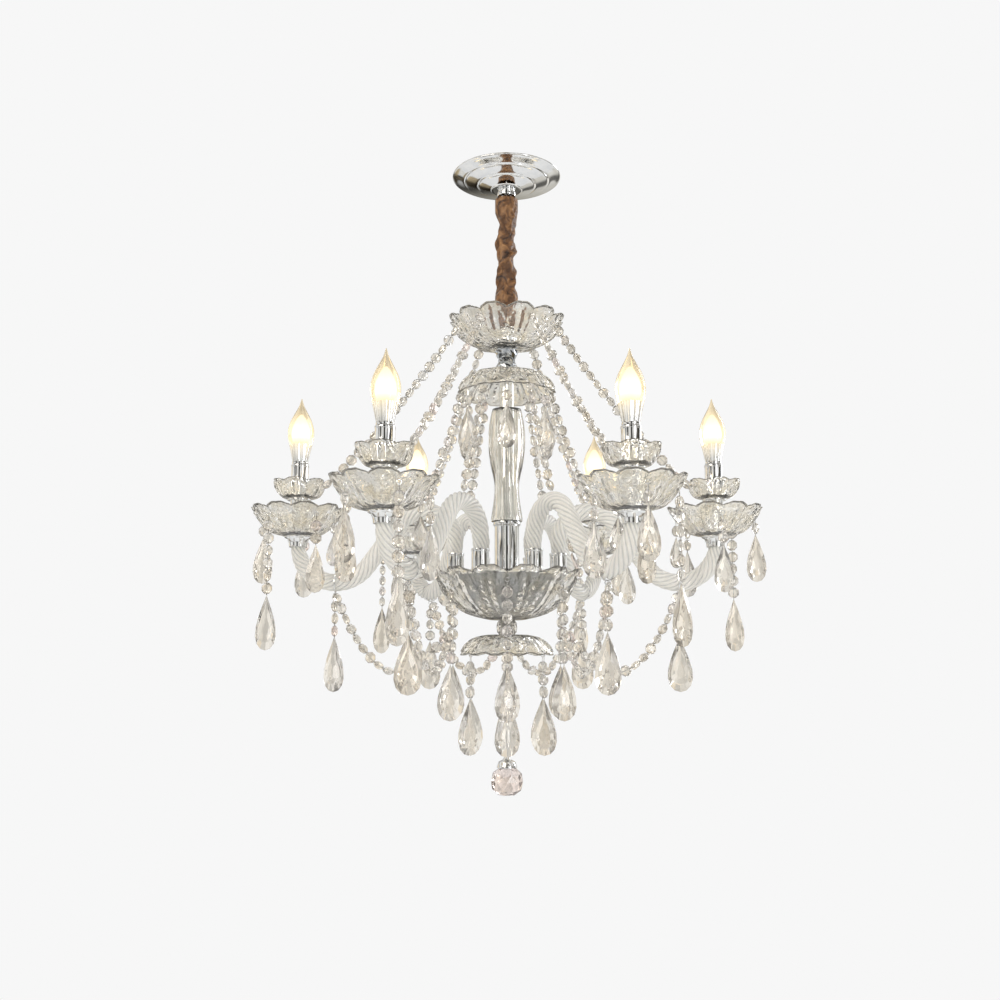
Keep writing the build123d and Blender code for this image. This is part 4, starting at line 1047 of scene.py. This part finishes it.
def long_strands():
    """Strings from the top bowl to the small cups, and from the upper dish to the arms."""
    rng = random.Random(5)
    shape = Shape()
    rim = bottom("top_bowl") + notch_height(*TOP_BOWL, TOP_HANG_R) - HANG_GAP
    cup = CUP_Z + notch_height(*CUP, CUP_HANG_R)
    cup_x = ARM_REACH - CUP_HANG_R - CUP_STANDOFF
    dish = top("column_drops")
    hump = HUMP_Z + ARM_HUMP_R + ARM_R + BOW_RING_GAP
    for n in range(ARMS):
        turn = around(n)
        strand(shape, turn @ Vector((TOP_HANG_R, 0, rim)), turn @ Vector((cup_x, 0, cup)),
               CUP_STRAND_SAG, rng)
        strand(shape, turn @ Vector((COLUMN_HANG_R, 0, dish)), turn @ Vector((HUMP_X, 0, hump)),
               ARM_STRAND_SAG, rng)
    crystal_piece("bead_strands", shape)


def garlands():
    """Swags from each bow to the bowl strings, two arms to a string."""
    rng = random.Random(9)
    shape = Shape()
    start_z = BOW_Z - ARM_BOW_R - ARM_R - 2 * BOW_RING_GAP
    end_z = top("bowl_strings") - HOOK_LENGTH - GARLAND_BEAD * BEAD_PITCH
    outer = MAIN_HANG_R + GARLAND_STANDOFF
    for n in range(ARMS):
        way = 1 if n % 2 else -1
        hook_turn = way * GARLAND_HOOK_SIDE / BOW_X * ARMS / (2 * math.pi)
        side_turn = way * GARLAND_SIDE / outer * ARMS / (2 * math.pi)
        start = around(n + hook_turn) @ Vector((BOW_X, 0, start_z))
        end = around(n + way / 2 - side_turn) @ Vector((outer, 0, end_z))
        strand(shape, start, end, GARLAND_SAG, rng)
    crystal_piece("garlands", shape)


# ---- build the pieces
canopy()
canopy_neck()
chain()
sleeve()
frame_loop()
central_bowl("top_bowl", TOP_BOWL[2])
cut_knob("neck_knob", [(0.1, 0), (13.5, 0), (15.5, -3), (13.8, -8), (11.2, -13), (11.2, -18),
                       (13.8, -23), (15.5, -28), (13.5, -31), (0.1, -31)], 14, SILVERED)
central_bowl("upper_dish", 0.030, -1)
centre_column()
hub()
central_bowl("main_bowl", 0.022, relief_height=1.9)
cut_knob("neck_ball", [(0.1, 0), (9.5, 0), (12.4, -3.8), (13.5, -9.5), (12.4, -15.2),
                       (9.5, -19), (0.1, -19)], 12)
central_bowl("lower_dish", 0.027, -1)
finial()
crystal_ball()
arms()
candle_fittings()
lamps()
pan_strings()
ring_of_strings("column_drops", COLUMN_HANG_R, 1, SHORT_DROP)
ring_of_strings("bowl_strings", MAIN_HANG_R, 6, TALL_DROP)
ring_of_strings("lower_dish_drops", DISH_HANG_R, 3, TALL_DROP)
bow_strings()
long_strands()
garlands()


# ---- floor, light and camera
def floor():
    """Pale studio floor, well below the hanging frame, mottled over a third of a metre."""
    material, *_, tint = grained("pale_studio_floor", 1000 / 3, 3.0,
                                 [(0.3, "#f4f4f3"), (0.7, "#f8f8f7")])
    finished(material, {"Base Color": tint, "Roughness": 0.8})
    mesh = bpy.data.meshes.new("studio_floor")
    disc = bmesh.new()
    bmesh.ops.create_circle(disc, cap_ends=True, segments=64, radius=FLOOR_R)
    for vert in disc.verts:
        vert.co.z = FLOOR_Z
    disc.to_mesh(mesh)
    disc.free()
    mesh.materials.append(material)
    put_in_scene("studio_floor", mesh)


def world():
    """Pale backdrop all round; light, metal and glass also meet a room's doors and windows."""
    made = bpy.data.worlds.new("room")
    bpy.context.scene.world = made
    made.use_nodes = True
    tree = made.node_tree
    tree.nodes.clear()
    way = add_node(tree, "ShaderNodeTexCoord").outputs["Generated"]
    parts = add_node(tree, "ShaderNodeSeparateXYZ", {"Vector": way})
    height = add_node(tree, "ShaderNodeMapRange", {
        "Value": parts.outputs["Z"], "From Min": -1.0, "From Max": 1.0}).outputs["Result"]
    bearing = add_node(tree, "ShaderNodeTexGradient", {"Vector": way}, gradient_type="RADIAL")
    panels = add_node(tree, "ShaderNodeTexVoronoi", {"Vector": way, "Scale": 4.0},
                      feature="F1", distance="CHEBYCHEV")
    patch = add_node(tree, "ShaderNodeSeparateColor", {"Color": panels.outputs["Color"]})
    tone, walls, shade, furniture = (
        add_node(tree, "ShaderNodeValToRGB", {"Fac": value}, stops).outputs["Color"]
        for value, stops in (
            # warm near the ground, white overhead
            (height, [(0.0, "#dedad2"), (1.0, "#ffffff"), (0.45, "#efece6"), (0.65, "#f7f7f7")]),
            # doorways and window frames round the walls
            (bearing.outputs["Fac"], [
                (0.0, "#ffffff"), (1.0, "#ffffff"), (0.09, "#f7f7f7"), (0.11, "#3a3936"),
                (0.14, "#4b4a46"), (0.16, "#f7f7f7"), (0.22, "#efeeec"), (0.235, "#22211f"),
                (0.265, "#2b2a28"), (0.28, "#ffffff"), (0.36, "#ffffff"), (0.5, "#f3f2ef"),
                (0.52, "#5a5853"), (0.55, "#ececea"), (0.68, "#ffffff"), (0.74, "#b9b6ae"),
                (0.78, "#33322f"), (0.81, "#f7f7f7")]),
            # dark and warm panels here and there
            (patch.outputs["Red"], [
                (0.0, "#4a4741"), (1.0, "#ffffff"), (0.14, "#6d6a62"), (0.18, "#f1efea"),
                (0.78, "#ffffff"), (0.84, "#f6dcac"), (0.90, "#f8e4c0"), (0.93, "#ffffff")]),
            # a dark row low down and a grey one above eye level
            (height, [
                (0.0, "#ffffff"), (1.0, "#ffffff"), (0.27, "#f7f5f0"), (0.30, "#34322f"),
                (0.345, "#3c3a36"), (0.37, "#fdfcfa"), (0.60, "#ffffff"), (0.63, "#8b8883"),
                (0.67, "#ffffff")])))
    room = walls
    for share, layer in ((1.0, shade), (0.85, furniture)):
        room = add_node(tree, "ShaderNodeMix", {"Factor": share, 6: room, 7: layer},
                        data_type="RGBA", blend_type="MULTIPLY").outputs[2]
    hazed = add_node(tree, "ShaderNodeMix", {"Factor": 0.48, 6: room, 7: linear("#fffcf4")},
                     data_type="RGBA").outputs[2]
    path = add_node(tree, "ShaderNodeLightPath")
    plain, mirrored, through, backdrop = (
        add_node(tree, "ShaderNodeBackground", {"Color": colour, "Strength": strength}).outputs[0]
        for colour, strength in ((tone, 0.88), (room, 1.0), (hazed, 1.0),
                                 (linear("#f7f7f7"), 1.0)))
    seen = plain
    for ray, light in (("Is Glossy Ray", mirrored), ("Is Transmission Ray", through),
                       ("Is Camera Ray", backdrop)):
        seen = add_node(tree, "ShaderNodeMixShader", {
            0: path.outputs[ray], 1: seen, 2: light}).outputs["Shader"]
    add_node(tree, "ShaderNodeOutputWorld", {"Surface": seen})


def softbox(name, at, size, power, colour):
    lamp = bpy.data.lights.new(name, "AREA")
    lamp.shape = "RECTANGLE"
    lamp.size, lamp.size_y = size
    lamp.energy = power
    lamp.color = linear(colour)[:3]
    stand = put_in_scene(name, lamp)
    stand.location = at
    stand.rotation_euler = (LIGHTS_AIM - Vector(at)).to_track_quat("-Z", "Y").to_euler()


def camera():
    """The photograph's own place: a little below the middle, looking up."""
    eye = bpy.data.cameras.new("photo_view")
    eye.lens = 39.78
    eye.sensor_width = 36.0
    holder = put_in_scene("photo_view", eye)
    holder.location = (-0.00867, -1.400, -0.6526)
    holder.rotation_euler = (math.radians(98.69), 0, 0)
    bpy.context.scene.camera = holder


floor()
world()
softbox("key_softbox", (-1.3, -1.6, 0.5), (1.0, 1.0), 16, "#fff6ea")
softbox("rim_softbox", (1.6, 0.9, 0.3), (0.6, 1.2), 12, "#f4f7ff")
softbox("fill_strip", (1.2, -1.5, -0.6), (0.25, 1.4), 6, "#ffffff")
camera()
bpy.context.scene.view_settings.view_transform = "Standard"
